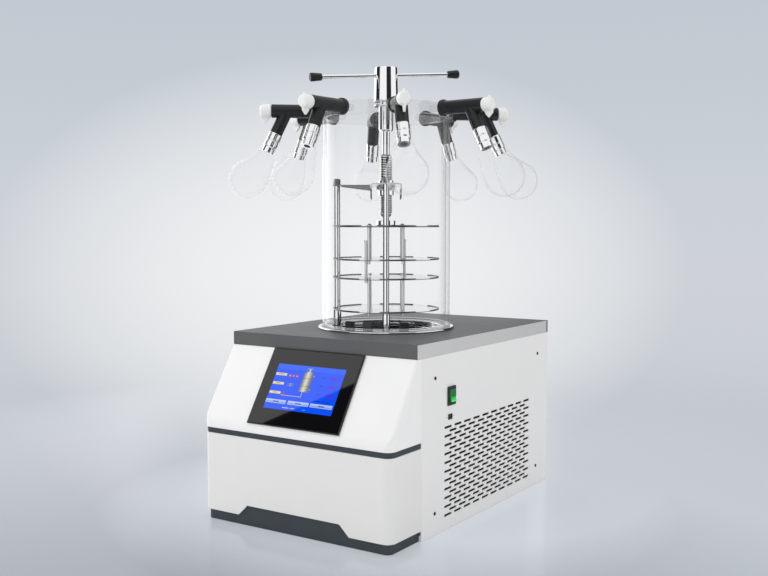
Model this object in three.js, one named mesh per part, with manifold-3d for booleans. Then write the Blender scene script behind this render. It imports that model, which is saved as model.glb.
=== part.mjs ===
// Benchtop freeze dryer: a cabinet with a cold trap, a clear drying chamber with an eight-port flask
// manifold as its lid, and a stoppering rack that a T-handle presses down from outside.
// Millimetres, +Z up, front towards -Y. The origin is on the floor, under the axis of the chamber.
import * as THREE from 'three';
import { mergeGeometries, mergeVertices } from 'three/addons/utils/BufferGeometryUtils.js';
import Module from 'manifold-3d';

const wasm = await Module();
wasm.setup();

// ---- Driving dimensions ----------------------------------------------------------------------------
const FIT = 0.3;                  // clearance between pieces that touch
const RUN = 0.8;                  // clearance between pieces that slide or turn
const largeRound = 36;            // sides of the polygons that stand for circles, by size
const midRound = 20;
const smallRound = 10;
const tinyRound = 8;

// Cabinet
const cabinetWidth = 448;
const cabinetHeight = 370;        // floor to worktop
const worktopFront = 235;         // worktop's front edge, ahead of the chamber axis
const worktopBack = 338;          // worktop's back edge, behind the chamber axis
const worktopEdge = 27;           // height of the folded edge
const worktopSheet = 3;
const sheet = 2;                  // panels
const flange = 12;                // folded returns of the panels
const coverWall = 3;              // moulded front covers
const coverReach = 91.5;          // front covers stand out this far from the worktop's edge
const coverRadius = 18;           // vertical corners of the front covers
const seamBack = 13;              // seam between covers and side panels, behind the worktop's edge
const slopeRise = 143;            // height of the sloped face, under the worktop's edge
const slopeBlend = 18;            // length of the soft bend there, each way
const bandDrop = 14;              // band's top, below the foot of the slope
const bandHeight = 10;
const bandInset = 1.2;
const lowerCoverFoot = 20;        // underside of the lower cover
const notchTopHalf = 111;
const notchFootHalf = 133;
const notchHeight = 21;
const plinthInset = 5;
const plinthHeight = 52;
const padHeight = 14;             // pressed feet of the base frame
const padSize = 56;

// Vents, switch and display
const slotLength = 29.5;
const slotHeight = 4;
const slotPitch = 38.7;           // along a row
const slotRowPitch = 8.6;
const slotsInRow = 10;            // rows of ten and of nine, in turn
const slotFieldFront = -136;
const slotFieldFoot = 28;
const slotFieldGap = 36;          // bare panel between the slots and the switch
const switchWidth = 30;
const switchHeight = 37;
const switchY = -111;
const switchDrop = 83;            // below the worktop's edge
const switchLip = 2;              // the bezel's lip over the panel
const switchRim = 3;              // the bezel's wall around the rocker
const switchProud = 3;
const switchDeep = 18;
const rockerRest = 8;             // degrees that the rocker is tipped at rest
const rockerDepth = 6;            // its keel, below the pivot
const rockerRise = 6.5;           // its two ends, above the pivot
const rockerDip = 4.2;            // its middle
const panelWidth = 220;
const panelHeight = 163;
const panelThickness = 4;
const panelTop = 1.5;             // below the top of the slope
const moduleWidth = 168;
const moduleHeight = 100;
const moduleDepth = 30;
const moduleTop = 33;

// Services at the back and on the left side
const grilleSlots = 12;
const grillePitch = 14;
const grilleFoot = 60;
const grilleX0 = 40;
const grilleX1 = 180;
const inletX = -150;
const inletZ = 70;
const inletHalfX = 13.5;
const inletHalfZ = 10;
const inletLip = 3;
const inletDeep = 24;
const inletWall = 2;
const inletPinPitch = 7;
const vacuumY = 210;
const vacuumDrop = 93;            // below the worktop's edge
const vacuumTubeRadius = 13;
const vacuumFlangeRadius = 20;
const vacuumTubeWall = 2;
const vacuumInside = 22;          // length of the tube inside the panel
const vacuumReach = 34;           // and outside it
const vacuumCollar = 7;

// Cold trap and refrigeration
const ledgeWidth = 19;            // step inside the mouth, on which the rack stands
const wellWall = 1.5;
const wellDepth = 215;            // below the ledge
const ledgeInset = 13;            // mouth of the trap, inside the chamber's bore
const ledgeDepth = 4;             // below the worktop's surface
const trapFlangeWidth = 9;        // beyond the chamber
const trapFlangeHeight = 5;
const insulation = 22;
const coilTubeRadius = 4;
const coilTurns = 4;
const coilSteps = 18;             // in each turn
const coilPitch = 30;
const coilRise = 30;              // first turn above the bottom of the well
const compressorX = -62;
const compressorRadius = 68;
const compressorHeight = 160;
const compressorBack = 28;        // clear of the rear panel
const condenserGap = 12.39;       // clear of the trap's insulation
const condenserDepth = 42;
const condenserWidth = 200;
const condenserHeight = 176;
const condenserGaps = 6;          // open gaps between its rows of tube
const fanRadius = 72;
const fanDepth = 24;
const fanBlades = 5;
const fanPitch = 28;              // degrees
const fanHubRadius = 20;
const fanHubHalf = 6;
const fanShaftRadius = 3;
const motorRadius = 18;

// Chamber and manifold
const chamberRadius = 136;
const chamberWall = 8;
const chamberHeight = 434;
const gasketHeight = 4;
const lidOverhang = 6;            // beyond the chamber
const lidHeight = 24;
const lidLip = 4;
const ports = 8;
const manifoldTurn = -4;          // degrees that the lid is turned from square
const portRadius = 7.3;
const portReach = 27;             // depth of a radial port
const valveRadius = 14;
const valveLength = 99;           // lid rim to the end of the rubber body
const valveFlangeWidth = 2.5;
const valveFlangeLength = 8;
const stemStep = 1;               // the stem is this much slimmer than the body
const stemStart = 67.5;           // lid rim to where the stem's axis leaves the body's axis
const stemTilt = 25.5;            // degrees from upright
const stemLength = 52;
const adapterRadius = 14;
const adapterTipRadius = 11;
const adapterLength = 43;
const adapterStep = 31;
const adapterBore = 5.5;
const knobLength = 24;
const knobSpindle = 5;
const knobSocket = 26;
const flaskWall = 2;
const flaskRadius = 41;
const flaskNeckLength = 42;
const flaskBodyLength = 67;       // neck's end to the middle of the bulb
const flaskBend = 20;             // degrees that the flask leans out beyond its neck

// Handle
const hubRadius = 25.7;           // at its foot
const hubTopRadius = 23.6;
const hubHeight = 72.3;
const hubNeckRadius = 11.5;
const hubNeckHeight = 6;
const shaftRadius = 7.8;
const shaftReach = 153;           // below the lid's top
const glandRadius = 15.5;
const glandFlangeRadius = 26;
const glandFlangeHeight = 3.7;
const glandReach = 28;            // below the lid's underside
const barRadius = 4;
const barDrop = 17.1;             // bar's axis below the hub's top
const barTurn = 53.4;             // degrees from the X axis
const barTilt = 3.84;             // degrees that the loose bar stands off level
const handleSpan = 334.4;
const knobSocketDepth = 17;
const knobGripLength = 25.5;
const knobGripRadius = 9.3;
const knobGripNeck = 7.4;

// Stoppering rack, in its own frame, which is turned from the cabinet's
const rackTurn = 33.4;            // degrees
const shelfGap = 15;              // between the plates and the chamber's wall
const shelfSheet = 2;
const shelfSides = 28;
const notchAngles = [-18, 44, 136, 198];   // degrees from the rack's front
const notchHalf = 22;
const rimHeight = 4;
const columnInset = 9;            // columns, inside the edge of the plates
const columnRadius = 6.2;
const sleeveWall = 2;
const sleeveFoot = 13;            // above the base ring
const studRadius = 4;
const columnNutRadius = 7.3;
const columnNutHeight = 12;
const baseRingSheet = 3;
const baseRingWidth = 15;
const bridgeDrop = 140.2;         // top of the spider bracket, below the lid
const bridgeHalfWidth = 32.5;
const bridgeFold = 10;
const bridgeEnd = 9;              // beyond the columns
const armHalfWidth = 14;
const hookDrop = 20;
const hookHalf = 7;
const hookY = 58;
const nutWall = 2.4;
const nutDrop = 22;
const screwRadius = 13.6;
const screwAbove = 63;            // threaded length above the spider bracket
const screwBelow = 64;            // and below it
const screwTipRadius = 5.5;
const pressDrop = 87.5;           // top of the press plate, below the bracket's
const hangerLength = 69.5;        // from the press plate down to shelf 2
const pillarLength = 67.5;        // from shelf 4 up to shelf 3
const shelf4Rise = 44.5;          // above the ledge
const bossRadius = 20;
const bossHeight = 12;
const socketDepth = 7;            // for the tip of the screw
const blockAngles = [-46, -20.8, 20.8];    // rubber stops on the base ring
const rodRadius = 3;
const rodInset = 14.6;            // hanger rods and pillars, inside the edge of the plates
const rodAngle = 20.8;            // degrees from the rack's Y axis
const rodFoot = 6;                // rods stand out this far below their plate
const rodHeadRadius = 5;
const rodHeadHeight = 5;
const guideInset = 23.1;          // guide rods, inside the edge of the plates
const guideAngle = 27.1;
const guideAbove = 42;            // guide rods above shelf 2
const pillarStud = 2.2;

// ---- Worked out from them --------------------------------------------------------------------------
const halfWidth = cabinetWidth / 2;
const coverFront = worktopFront + coverReach;
const seam = worktopFront - seamBack;
const coverTop = cabinetHeight - worktopEdge;
const slopeFoot = coverTop - slopeRise;         // where the slope meets the upright face
const bandTop = slopeFoot - bandDrop;
const switchZ = coverTop - switchDrop;
const slotRows = 1 + Math.floor(
  (switchZ - switchHeight / 2 - slotFieldGap - slotFieldFoot) / slotRowPitch);
const vacuumZ = coverTop - vacuumDrop;
const slopeAngle = Math.atan2(coverReach, slopeRise);   // from upright
const innerRadius = chamberRadius - chamberWall;
const ledge = cabinetHeight - ledgeDepth;
const ledgeRadius = innerRadius - ledgeInset;
const wellRadius = ledgeRadius - ledgeWidth;
const trapFlangeRadius = chamberRadius + trapFlangeWidth;
const lidRadius = chamberRadius + lidOverhang;
const valveFlangeRadius = valveRadius + valveFlangeWidth;
const stemRadius = valveRadius - stemStep;
const shelfRadius = innerRadius - shelfGap;
const columnCircle = shelfRadius - columnInset;
const sleeveRadius = columnRadius + sleeveWall;
const nutRadius = screwRadius + nutWall;
const flangeTop = cabinetHeight + FIT + trapFlangeHeight;
const chamberFoot = flangeTop + FIT + gasketHeight + FIT;
const chamberTop = chamberFoot + chamberHeight;
const lidFoot = chamberTop + FIT;
const lidTop = lidFoot + lidHeight;
const portHeight = lidFoot + lidHeight / 2;
const hubFoot = lidTop + FIT + glandFlangeHeight + FIT;
const hubTop = hubFoot + hubNeckHeight + hubHeight;
const barHeight = hubTop - barDrop;
const bridgeHeight = lidFoot - bridgeDrop;
const screwTop = bridgeHeight + screwAbove;
const screwFoot = bridgeHeight - screwBelow;
const pressTop = bridgeHeight - pressDrop;      // top faces of the four plates
const shelf2Top = pressTop - hangerLength;
const shelf4Top = ledge + shelf4Rise;
const shelf3Top = shelf4Top + pillarLength;

const rad = THREE.MathUtils.degToRad;

// ---- Helpers ---------------------------------------------------------------------------------------
// A closed three.js geometry as a solid: vertices at one place are merged, triangles with no area dropped.
function solid(geometry) {
  const bare = geometry.index ? geometry.toNonIndexed() : geometry.clone();
  bare.deleteAttribute('normal');
  bare.deleteAttribute('uv');
  const merged = mergeVertices(bare, 1e-4);
  const index = merged.index.array;
  const kept = [];
  for (let i = 0; i < index.length; i += 3) {
    const [a, b, c] = [index[i], index[i + 1], index[i + 2]];
    if (a !== b && b !== c && c !== a) kept.push(a, b, c);
  }
  return new wasm.Manifold(new wasm.Mesh({
    numProp: 3,
    vertProperties: new Float32Array(merged.attributes.position.array),
    triVerts: new Uint32Array(kept),
  }));
}

function toGeometry(manifold) {
  const mesh = manifold.getMesh();
  const geometry = new THREE.BufferGeometry();
  geometry.setAttribute('position', new THREE.BufferAttribute(new Float32Array(mesh.vertProperties), 3));
  geometry.setIndex(new THREE.BufferAttribute(new Uint32Array(mesh.triVerts), 1));
  geometry.computeVertexNormals();
  return geometry;
}

function join(...parts) {
  return parts.reduce((sum, part) => sum.add(part));
}

function cut(body, ...cutters) {
  return cutters.flat().reduce((rest, cutter) => rest.subtract(cutter), body);
}

function boxGeometry(x0, x1, y0, y1, z0, z1) {
  const geometry = new THREE.BoxGeometry(x1 - x0, y1 - y0, z1 - z0);
  return geometry.translate((x0 + x1) / 2, (y0 + y1) / 2, (z0 + z1) / 2);
}

function box(...limits) {
  return solid(boxGeometry(...limits));
}

// Many boxes that lie apart, as one cutter.
function boxes(limits) {
  return solid(mergeGeometries(limits.map((each) => boxGeometry(...each))));
}

// An upright rod or disc from z0 to z1.
function rod(radius, z0, z1, x = 0, y = 0, sides = smallRound) {
  const geometry = new THREE.CylinderGeometry(radius, radius, z1 - z0, sides);
  return solid(geometry.rotateX(Math.PI / 2).translate(x, y, (z0 + z1) / 2));
}

// The polygon whose flats, not its corners, lie at the radius: what turns inside it stays clear.
function flats(radius, sides) {
  return radius / Math.cos(Math.PI / sides);
}

// A cutter for a round hole.
function hole(radius, z0, z1, x = 0, y = 0, sides = smallRound) {
  return rod(flats(radius, sides), z0, z1, x, y, sides);
}

// A turned piece: the profile is [radius, height] pairs that run up the outside.
function turned(profile, sides = midRound) {
  const points = profile.map(([r, z]) => new THREE.Vector2(r, z));
  return solid(new THREE.LatheGeometry(points, sides).rotateX(Math.PI / 2));
}

// A ring, as a closed profile.
function ring(inner, outer, z0, z1, sides = largeRound) {
  return turned([[inner, z0], [outer, z0], [outer, z1], [inner, z1], [inner, z0]], sides);
}

function prism(shape, depth, curveSegments = 6) {
  return solid(new THREE.ExtrudeGeometry(shape, { depth, bevelEnabled: false, curveSegments }));
}

// A shape drawn in the Y-Z plane, made as thick along X as x0 to x1.
function alongX(shape, x0, x1, curveSegments = 6) {
  const geometry = new THREE.ExtrudeGeometry(shape, { depth: x1 - x0, bevelEnabled: false, curveSegments });
  const axes = new THREE.Matrix4().makeBasis(
    new THREE.Vector3(0, 1, 0), new THREE.Vector3(0, 0, 1), new THREE.Vector3(1, 0, 0));
  return solid(geometry.applyMatrix4(axes).translate(x0, 0, 0));
}

// A shape drawn in the X-Z plane, made as thick along Y as y0 to y1.
function alongY(shape, y0, y1) {
  const geometry = new THREE.ExtrudeGeometry(shape, { depth: y1 - y0, bevelEnabled: false });
  return solid(geometry.rotateX(Math.PI / 2).translate(0, y1, 0));
}

function polygon(points) {
  return new THREE.Shape(points.map(([x, y]) => new THREE.Vector2(x, y)));
}

function finish(color, roughness, metalness, more = {}) {
  return new THREE.MeshStandardMaterial({ color, roughness, metalness, ...more });
}

const paleCoat = () => finish(0xdcdcdc, 0.45, 0);
const whiteCoat = () => finish(0xf2f2f2, 0.4, 0);
const slate = () => finish(0x454c52, 0.5, 0);
const blackRubber = () => finish(0x202222, 0.55, 0);
const whitePlastic = () => finish(0xe8e8e6, 0.35, 0);
const blackPlastic = () => finish(0x1b1c1e, 0.4, 0);
const steel = () => finish(0xc8cacc, 0.25, 1);
const chromed = () => finish(0xdfe1e3, 0.08, 1);
const clear = () => finish(0xe6eef0, 0.05, 0, { transparent: true, opacity: 0.25 });

const dryer = new THREE.Group();

function add(parent, name, shape, material) {
  const mesh = new THREE.Mesh(toGeometry(shape), material);
  mesh.name = name;
  parent.add(mesh);
  return mesh;
}

// ---- Cabinet ---------------------------------------------------------------------------------------
// Plan of the front covers: square at the seam, rounded at the two front corners.
function coverPlan(inset, back = seam) {
  const x = halfWidth - inset;
  const y = -coverFront + inset;
  const r = Math.max(coverRadius - inset, 1);
  const plan = new THREE.Shape();
  plan.moveTo(-x, -back);
  plan.lineTo(-x, y + r);
  plan.absarc(-x + r, y + r, r, Math.PI, 1.5 * Math.PI, false);
  plan.lineTo(x - r, y);
  plan.absarc(x - r, y + r, r, 1.5 * Math.PI, 2 * Math.PI, false);
  plan.lineTo(x, -back);
  return plan;
}

// A wall that follows that plan, open at the back.
function coverShell(inset, wall, z0, z1) {
  const outer = prism(coverPlan(inset), z1 - z0).translate([0, 0, z0]);
  const inner = prism(coverPlan(inset + wall, seam - 10), z1 - z0 + 2).translate([0, 0, z0 - 1]);
  return outer.subtract(inner);
}

// Side view of the upper cover: upright at the foot, a soft bend, then the slope up to the worktop.
function slopeProfile(inset, foot, top) {
  const y = -coverFront + inset;
  const shift = inset / Math.cos(slopeAngle);     // the slope moved in, measured level
  const alongY = Math.sin(slopeAngle) * slopeBlend;
  const alongZ = Math.cos(slopeAngle) * slopeBlend;
  const bendZ = slopeFoot - (shift - inset) / Math.tan(slopeAngle);
  const rise = top - bendZ;
  const back = -seam + 10;
  const profile = new THREE.Shape();
  profile.moveTo(back, foot);
  profile.lineTo(y, foot);
  profile.lineTo(y, bendZ - slopeBlend / 2);
  profile.quadraticCurveTo(y, bendZ, y + alongY / 2, bendZ + alongZ / 2);
  profile.lineTo(y + rise * Math.tan(slopeAngle), top);
  profile.lineTo(back, top);
  return profile;
}

const slope = new THREE.Group();                  // X along the panel, Y up the slope, Z out of it
slope.position.set(0, -worktopFront, coverTop);
slope.rotation.x = Math.PI / 2 - slopeAngle;
dryer.add(slope);
const slopeUp = new THREE.Matrix4().makeRotationX(Math.PI / 2 - slopeAngle).setPosition(slope.position);

function upperCover() {
  const foot = bandTop + FIT;
  const top = coverTop - FIT;
  const outer = prism(coverPlan(0), top - foot).translate([0, 0, foot])
    .intersect(alongX(slopeProfile(0, foot - 1, top + 1), -halfWidth - 1, halfWidth + 1));
  const hollow = prism(coverPlan(coverWall, seam - 10), top - foot + 2).translate([0, 0, foot - 1])
    .intersect(alongX(slopeProfile(coverWall, foot - 2, top - coverWall), -halfWidth, halfWidth));
  const opening = new THREE.BoxGeometry(moduleWidth + 2 * FIT, moduleHeight + 2 * FIT, 4 * coverWall);
  opening.translate(0, -moduleTop - moduleHeight / 2, 0).applyMatrix4(slopeUp);
  return outer.subtract(hollow).subtract(solid(opening));
}

function lowerCover() {
  const foot = lowerCoverFoot;
  const notch = polygon([
    [-notchFootHalf - 1, foot - 1], [notchFootHalf + 1, foot - 1],
    [notchTopHalf, foot + notchHeight], [-notchTopHalf, foot + notchHeight]]);
  return coverShell(0, coverWall, foot, bandTop - bandHeight - FIT)
    .subtract(alongY(notch, -coverFront - coverWall, -coverFront + 2 * coverWall));
}

function plinth() {
  return coverShell(plinthInset, coverWall, 0, plinthHeight);
}

function worktop() {
  const outer = box(-halfWidth, halfWidth, -worktopFront, worktopBack, coverTop, cabinetHeight);
  const hollow = box(
    -halfWidth + sheet, halfWidth - sheet, -worktopFront + sheet, worktopBack - sheet,
    coverTop - 1, cabinetHeight - worktopSheet);
  const mouth = hole(ledgeRadius + wellWall + FIT, coverTop, cabinetHeight + 1, 0, 0, largeRound);
  return outer.subtract(hollow).subtract(mouth);
}

// A side panel on the +X side: a flat sheet folded in at the front and the top.
function sidePanel() {
  const front = -seam + FIT;
  const top = coverTop - FIT;
  const inner = halfWidth - sheet;
  return join(
    box(inner, halfWidth, front, worktopBack, 0, top),
    box(inner - flange, inner + 0.5, front, front + sheet, plinthHeight, top),
    box(inner - flange, inner + 0.5, front, worktopBack - sheet - FIT, top - sheet, top));
}

function ventSlots() {
  const slots = [];
  for (let row = 0; row < slotRows; row += 1) {
    const count = row % 2 ? slotsInRow - 1 : slotsInRow;
    const start = slotFieldFront + (row % 2 ? slotPitch / 2 : 0);
    const z = slotFieldFoot + row * slotRowPitch;
    for (let i = 0; i < count; i += 1) {
      const y = start + i * slotPitch;
      slots.push([
        halfWidth - 2 * sheet, halfWidth + sheet, y, y + slotLength, z - slotHeight / 2, z + slotHeight / 2]);
    }
  }
  return boxes(slots);
}

function switchBlock(extra, x0, x1) {
  const halfY = switchWidth / 2 - switchLip + extra;
  const halfZ = switchHeight / 2 - switchLip + extra;
  return box(x0, x1, switchY - halfY, switchY + halfY, switchZ - halfZ, switchZ + halfZ);
}

function switchBezel() {
  const halfY = switchWidth / 2;
  const halfZ = switchHeight / 2;
  const lip = box(
    halfWidth + FIT, halfWidth + switchProud, switchY - halfY, switchY + halfY,
    switchZ - halfZ, switchZ + halfZ);
  const body = switchBlock(0, halfWidth - switchDeep, halfWidth + FIT + 0.5);
  const well = switchBlock(-switchRim, halfWidth - switchDeep + switchLip, halfWidth + switchProud + 1);
  return join(lip, body).subtract(well);
}

// The rocker, about its pivot: X out of the panel, Z up it. Two faces meet at a shallow angle.
function rocker() {
  const halfY = switchWidth / 2 - switchLip - switchRim - RUN;
  const halfZ = switchHeight / 2 - switchLip - switchRim - RUN - FIT;
  const side = polygon([
    [-rockerDepth, -halfZ / 2], [0, -halfZ], [rockerRise, -halfZ], [rockerDip, 0], [rockerRise, halfZ],
    [0, halfZ], [-rockerDepth, halfZ / 2]]);
  return alongY(side, -halfY, halfY);
}

function rearPanel() {
  const x = halfWidth - sheet - FIT;
  const near = worktopBack - 2 * sheet;
  const far = worktopBack + sheet;
  const holes = [[
    inletX - inletHalfX - FIT, inletX + inletHalfX + FIT, near, far,
    inletZ - inletHalfZ - FIT, inletZ + inletHalfZ + FIT]];
  for (let i = 0; i < grilleSlots; i += 1) {
    const z = grilleFoot + i * grillePitch;
    holes.push([grilleX0, grilleX1, near, far, z, z + slotHeight]);
  }
  return box(-x, x, worktopBack - sheet, worktopBack, 0, coverTop - FIT).subtract(boxes(holes));
}

function powerInlet() {
  const block = (grow, y0, y1) => box(
    inletX - inletHalfX - grow, inletX + inletHalfX + grow, y0, y1,
    inletZ - inletHalfZ - grow, inletZ + inletHalfZ + grow);
  const lip = block(inletLip, worktopBack + FIT, worktopBack + inletWall);
  const floor = worktopBack - inletDeep + 3 * inletWall;
  const body = block(0, worktopBack - inletDeep, worktopBack + inletWall / 2);
  const well = block(-inletWall, floor, worktopBack + 2 * inletWall);
  const pins = [-1, 0, 1].map((i) => {
    const x = inletX + i * inletPinPitch;
    const z = inletZ + (i === 0 ? 2 : -2);          // the earth pin sits higher than the other two
    return box(x - 1, x + 1, floor - 1, worktopBack - 4, z - 2, z + 2);
  });
  return join(join(lip, body).subtract(well), ...pins);
}

// A flanged tube along Z, turned to run out through the left side.
function vacuumPort() {
  const bore = vacuumTubeRadius - vacuumTubeWall;
  const end = vacuumInside + vacuumReach;
  const tube = turned([
    [bore, 0], [vacuumTubeRadius, 0], [vacuumTubeRadius, end - 6], [vacuumFlangeRadius, end - 3.5],
    [vacuumFlangeRadius, end], [bore, end], [bore, 0]]);
  const collar = ring(
    vacuumTubeRadius - 1, vacuumTubeRadius + vacuumCollar, vacuumInside + FIT, vacuumInside + 4, midRound);
  return throughSide(join(tube, collar));
}

function throughSide(shape) {
  return shape.rotate([0, -90, 0]).translate([-halfWidth + vacuumInside, vacuumY, vacuumZ]);
}

function baseFrame() {
  const x = halfWidth - sheet - FIT;
  const front = -seam + FIT;
  const back = worktopBack - sheet - FIT;
  const inside = box(
    -x + sheet, x - sheet, front + sheet, back - sheet, padHeight + sheet, padHeight + 2 * flange);
  const pan = box(-x, x, front, back, padHeight, padHeight + flange).subtract(inside);
  const pads = [];
  for (const side of [-1, 1]) {
    for (const end of [front + 20, back - 20 - padSize]) {
      const x0 = side > 0 ? x - 20 - padSize : -x + 20;
      pads.push(box(x0, x0 + padSize, end, end + padSize, 0, padHeight + 1));
    }
  }
  return join(pan, ...pads);
}

add(dryer, 'base_frame', baseFrame(), steel());
add(dryer, 'plinth', plinth(), slate());
add(dryer, 'front_lower_cover', lowerCover(), paleCoat());
add(dryer, 'accent_band', coverShell(bandInset, coverWall, bandTop - bandHeight, bandTop), slate());
add(dryer, 'front_upper_cover', upperCover(), whiteCoat());
add(dryer, 'right_side_panel', sidePanel().subtract(ventSlots())
  .subtract(switchBlock(FIT, halfWidth - 2 * sheet, halfWidth + sheet)), paleCoat());
add(dryer, 'left_side_panel', sidePanel().mirror([1, 0, 0])
  .subtract(throughSide(hole(vacuumTubeRadius + FIT, 0, 2 * vacuumInside, 0, 0, midRound))), paleCoat());
add(dryer, 'rear_panel', rearPanel(), paleCoat());
add(dryer, 'worktop', worktop(), finish(0x6a6b6c, 0.45, 0));
add(dryer, 'power_inlet', powerInlet(), blackPlastic());
add(dryer, 'vacuum_port', vacuumPort(), steel());
add(dryer, 'switch_bezel', switchBezel(), blackPlastic());
const rockerMesh = add(dryer, 'switch_rocker', rocker(), finish(0x1f9a4d, 0.3, 0));
rockerMesh.position.set(halfWidth, switchY, switchZ);
rockerMesh.rotation.y = -rad(rockerRest);

const panelMid = -panelTop - panelHeight / 2;
add(slope, 'touch_panel', box(
  -panelWidth / 2, panelWidth / 2, panelMid - panelHeight / 2, panelMid + panelHeight / 2,
  FIT, FIT + panelThickness), finish(0x0e0f11, 0.1, 0));
add(slope, 'display_module', box(
  -moduleWidth / 2, moduleWidth / 2, -moduleTop - moduleHeight, -moduleTop,
  -moduleDepth, 0), finish(0x2a3f7a, 0.4, 0));

// ---- Cold trap and refrigeration -------------------------------------------------------------------
const wellOuter = wellRadius + wellWall;
const mouthOuter = ledgeRadius + wellWall;
const wellFoot = ledge - wellDepth;

// One deep-drawn and welded steel piece: the well, its ledge and the flange on the worktop.
function trapWell() {
  const under = cabinetHeight + FIT;
  return turned([
    [0, wellFoot - wellWall], [wellOuter, wellFoot - wellWall], [wellOuter, ledge - wellWall],
    [mouthOuter, ledge - wellWall], [mouthOuter, under], [trapFlangeRadius, under],
    [trapFlangeRadius, flangeTop - 1.5], [trapFlangeRadius - 1.5, flangeTop], [ledgeRadius, flangeTop],
    [ledgeRadius, ledge], [wellRadius, ledge], [wellRadius, wellFoot], [0, wellFoot]], largeRound);
}

class Helix extends THREE.Curve {
  constructor(radius, foot, pitch, turns) {
    super();
    Object.assign(this, { radius, foot, pitch, turns });
  }

  getPoint(t, target = new THREE.Vector3()) {
    const angle = t * this.turns * 2 * Math.PI;
    return target.set(
      this.radius * Math.cos(angle), this.radius * Math.sin(angle), this.foot + t * this.turns * this.pitch);
  }
}

// A copper tube wound on the well. Its straight steps touch the well at their middles.
const coilCircle = flats(wellOuter + FIT + coilTubeRadius, coilSteps);
function evaporatorCoil() {
  const section = new THREE.Shape().absarc(0, 0, coilTubeRadius, 0, 2 * Math.PI);
  return solid(new THREE.ExtrudeGeometry(section, {
    steps: coilTurns * coilSteps, curveSegments: 3, bevelEnabled: false,
    extrudePath: new Helix(coilCircle, wellFoot + coilRise, coilPitch, coilTurns),
  }));
}

const jacketInner = flats(coilCircle + coilTubeRadius + FIT, midRound);
const jacketOuter = jacketInner + insulation;
function trapInsulation() {
  const top = ledge - wellWall - FIT;
  const foot = wellFoot - wellWall - FIT;
  return turned([
    [0, foot - insulation], [jacketOuter, foot - insulation], [jacketOuter, top], [jacketInner, top],
    [jacketInner, foot], [0, foot]]);
}

const panTop = padHeight + sheet + FIT;
function compressor() {
  const r = compressorRadius;
  const top = panTop + compressorHeight;
  const y = worktopBack - compressorRadius - compressorBack;
  const shell = turned([
    [0, panTop + 16], [r * 0.7, panTop + 16], [r, panTop + 32], [r, top - 40], [r * 0.82, top - 12],
    [r * 0.4, top], [0, top]]);
  const bracket = box(-r, r, -r * 0.6, r * 0.6, panTop + 12, panTop + 17);
  const mounts = [[-1, -1], [1, -1], [1, 1], [-1, 1]]
    .map(([a, b]) => rod(8, panTop, panTop + 13, a * (r - 12), b * (r * 0.6 - 10), tinyRound));
  return join(shell, bracket, ...mounts).translate([compressorX, y, 0]);
}

// Finned block with gaps between its rows of tube, the fan's throat, and the motor on a bar across it.
const condenserX = halfWidth - sheet - flange - condenserDepth - 2;
const fanZ = panTop + condenserHeight / 2;
const throatX = condenserX - fanDepth;
// Its front corner keeps clear of the trap's round insulation.
const condenserFront = Math.sqrt(Math.max((jacketOuter + condenserGap) ** 2 - throatX ** 2, 0));
const condenserY = condenserFront + condenserWidth / 2;
function condenser() {
  const top = panTop + condenserHeight;
  const y0 = condenserY - condenserWidth / 2;
  const y1 = condenserY + condenserWidth / 2;
  const pitch = condenserHeight / (condenserGaps + 0.5);
  const gaps = [];
  for (let i = 0; i < condenserGaps; i += 1) {
    const z = panTop + pitch * (i + 0.5);
    gaps.push([condenserX - 1, condenserX + condenserDepth + 1, y0 + 8, y1 - 8, z, z + pitch * 0.55]);
  }
  const block = box(condenserX, condenserX + condenserDepth, y0, y1, panTop, top).subtract(boxes(gaps));
  const lyingAt = (x) => (shape) => shape.rotate([0, 90, 0]).translate([x, condenserY, fanZ]);
  const opening = lyingAt(throatX)(hole(fanRadius + 2, -1, fanDepth + 1, 0, 0, midRound));
  const throat = box(throatX, condenserX + 0.5, y0, y1, panTop, top).subtract(opening);
  const motor = lyingAt(condenserX)(rod(motorRadius, -fanHubHalf, 2));
  const shaft = lyingAt(condenserX)(rod(fanShaftRadius, -fanDepth, 1, 0, 0, tinyRound));
  const bar = box(condenserX - 1, condenserX + 2, condenserY - 6, condenserY + 6, panTop + 2, top - 2);
  return join(block, throat, motor, shaft, bar);
}

function fanRotor() {
  const hub = ring(
    flats(fanShaftRadius + FIT, smallRound), fanHubRadius, -fanHubHalf, fanHubHalf, smallRound);
  const blade = box(fanHubRadius - 3, fanRadius, -11, 11, -1, 1).rotate([fanPitch, 0, 0]);
  const blades = [];
  for (let i = 0; i < fanBlades; i += 1) {
    blades.push(blade.rotate([0, 0, i * 360 / fanBlades]));
  }
  return join(hub, ...blades).rotate([0, 90, 0]);
}

add(dryer, 'cold_trap_well', trapWell(), steel());
add(dryer, 'evaporator_coil', evaporatorCoil(), finish(0xb87344, 0.35, 1));
add(dryer, 'trap_insulation', trapInsulation(), finish(0x2b2b2b, 0.9, 0));
add(dryer, 'compressor', compressor(), finish(0x18191a, 0.4, 0));
add(dryer, 'condenser', condenser(), finish(0xa9adb0, 0.5, 1));
const fanMesh = add(dryer, 'fan_rotor', fanRotor(), blackPlastic());
fanMesh.position.set(condenserX - 2 * fanHubHalf - FIT, condenserY, fanZ);

// ---- Chamber and manifold lid ----------------------------------------------------------------------
add(dryer, 'base_gasket', ring(
  innerRadius - 2, chamberRadius + 2, flangeTop + FIT, chamberFoot - FIT), blackRubber());
add(dryer, 'chamber_cylinder', ring(innerRadius, chamberRadius, chamberFoot, chamberTop), clear());

const manifold = new THREE.Group();
manifold.rotation.z = rad(manifoldTurn);
dryer.add(manifold);

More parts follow.
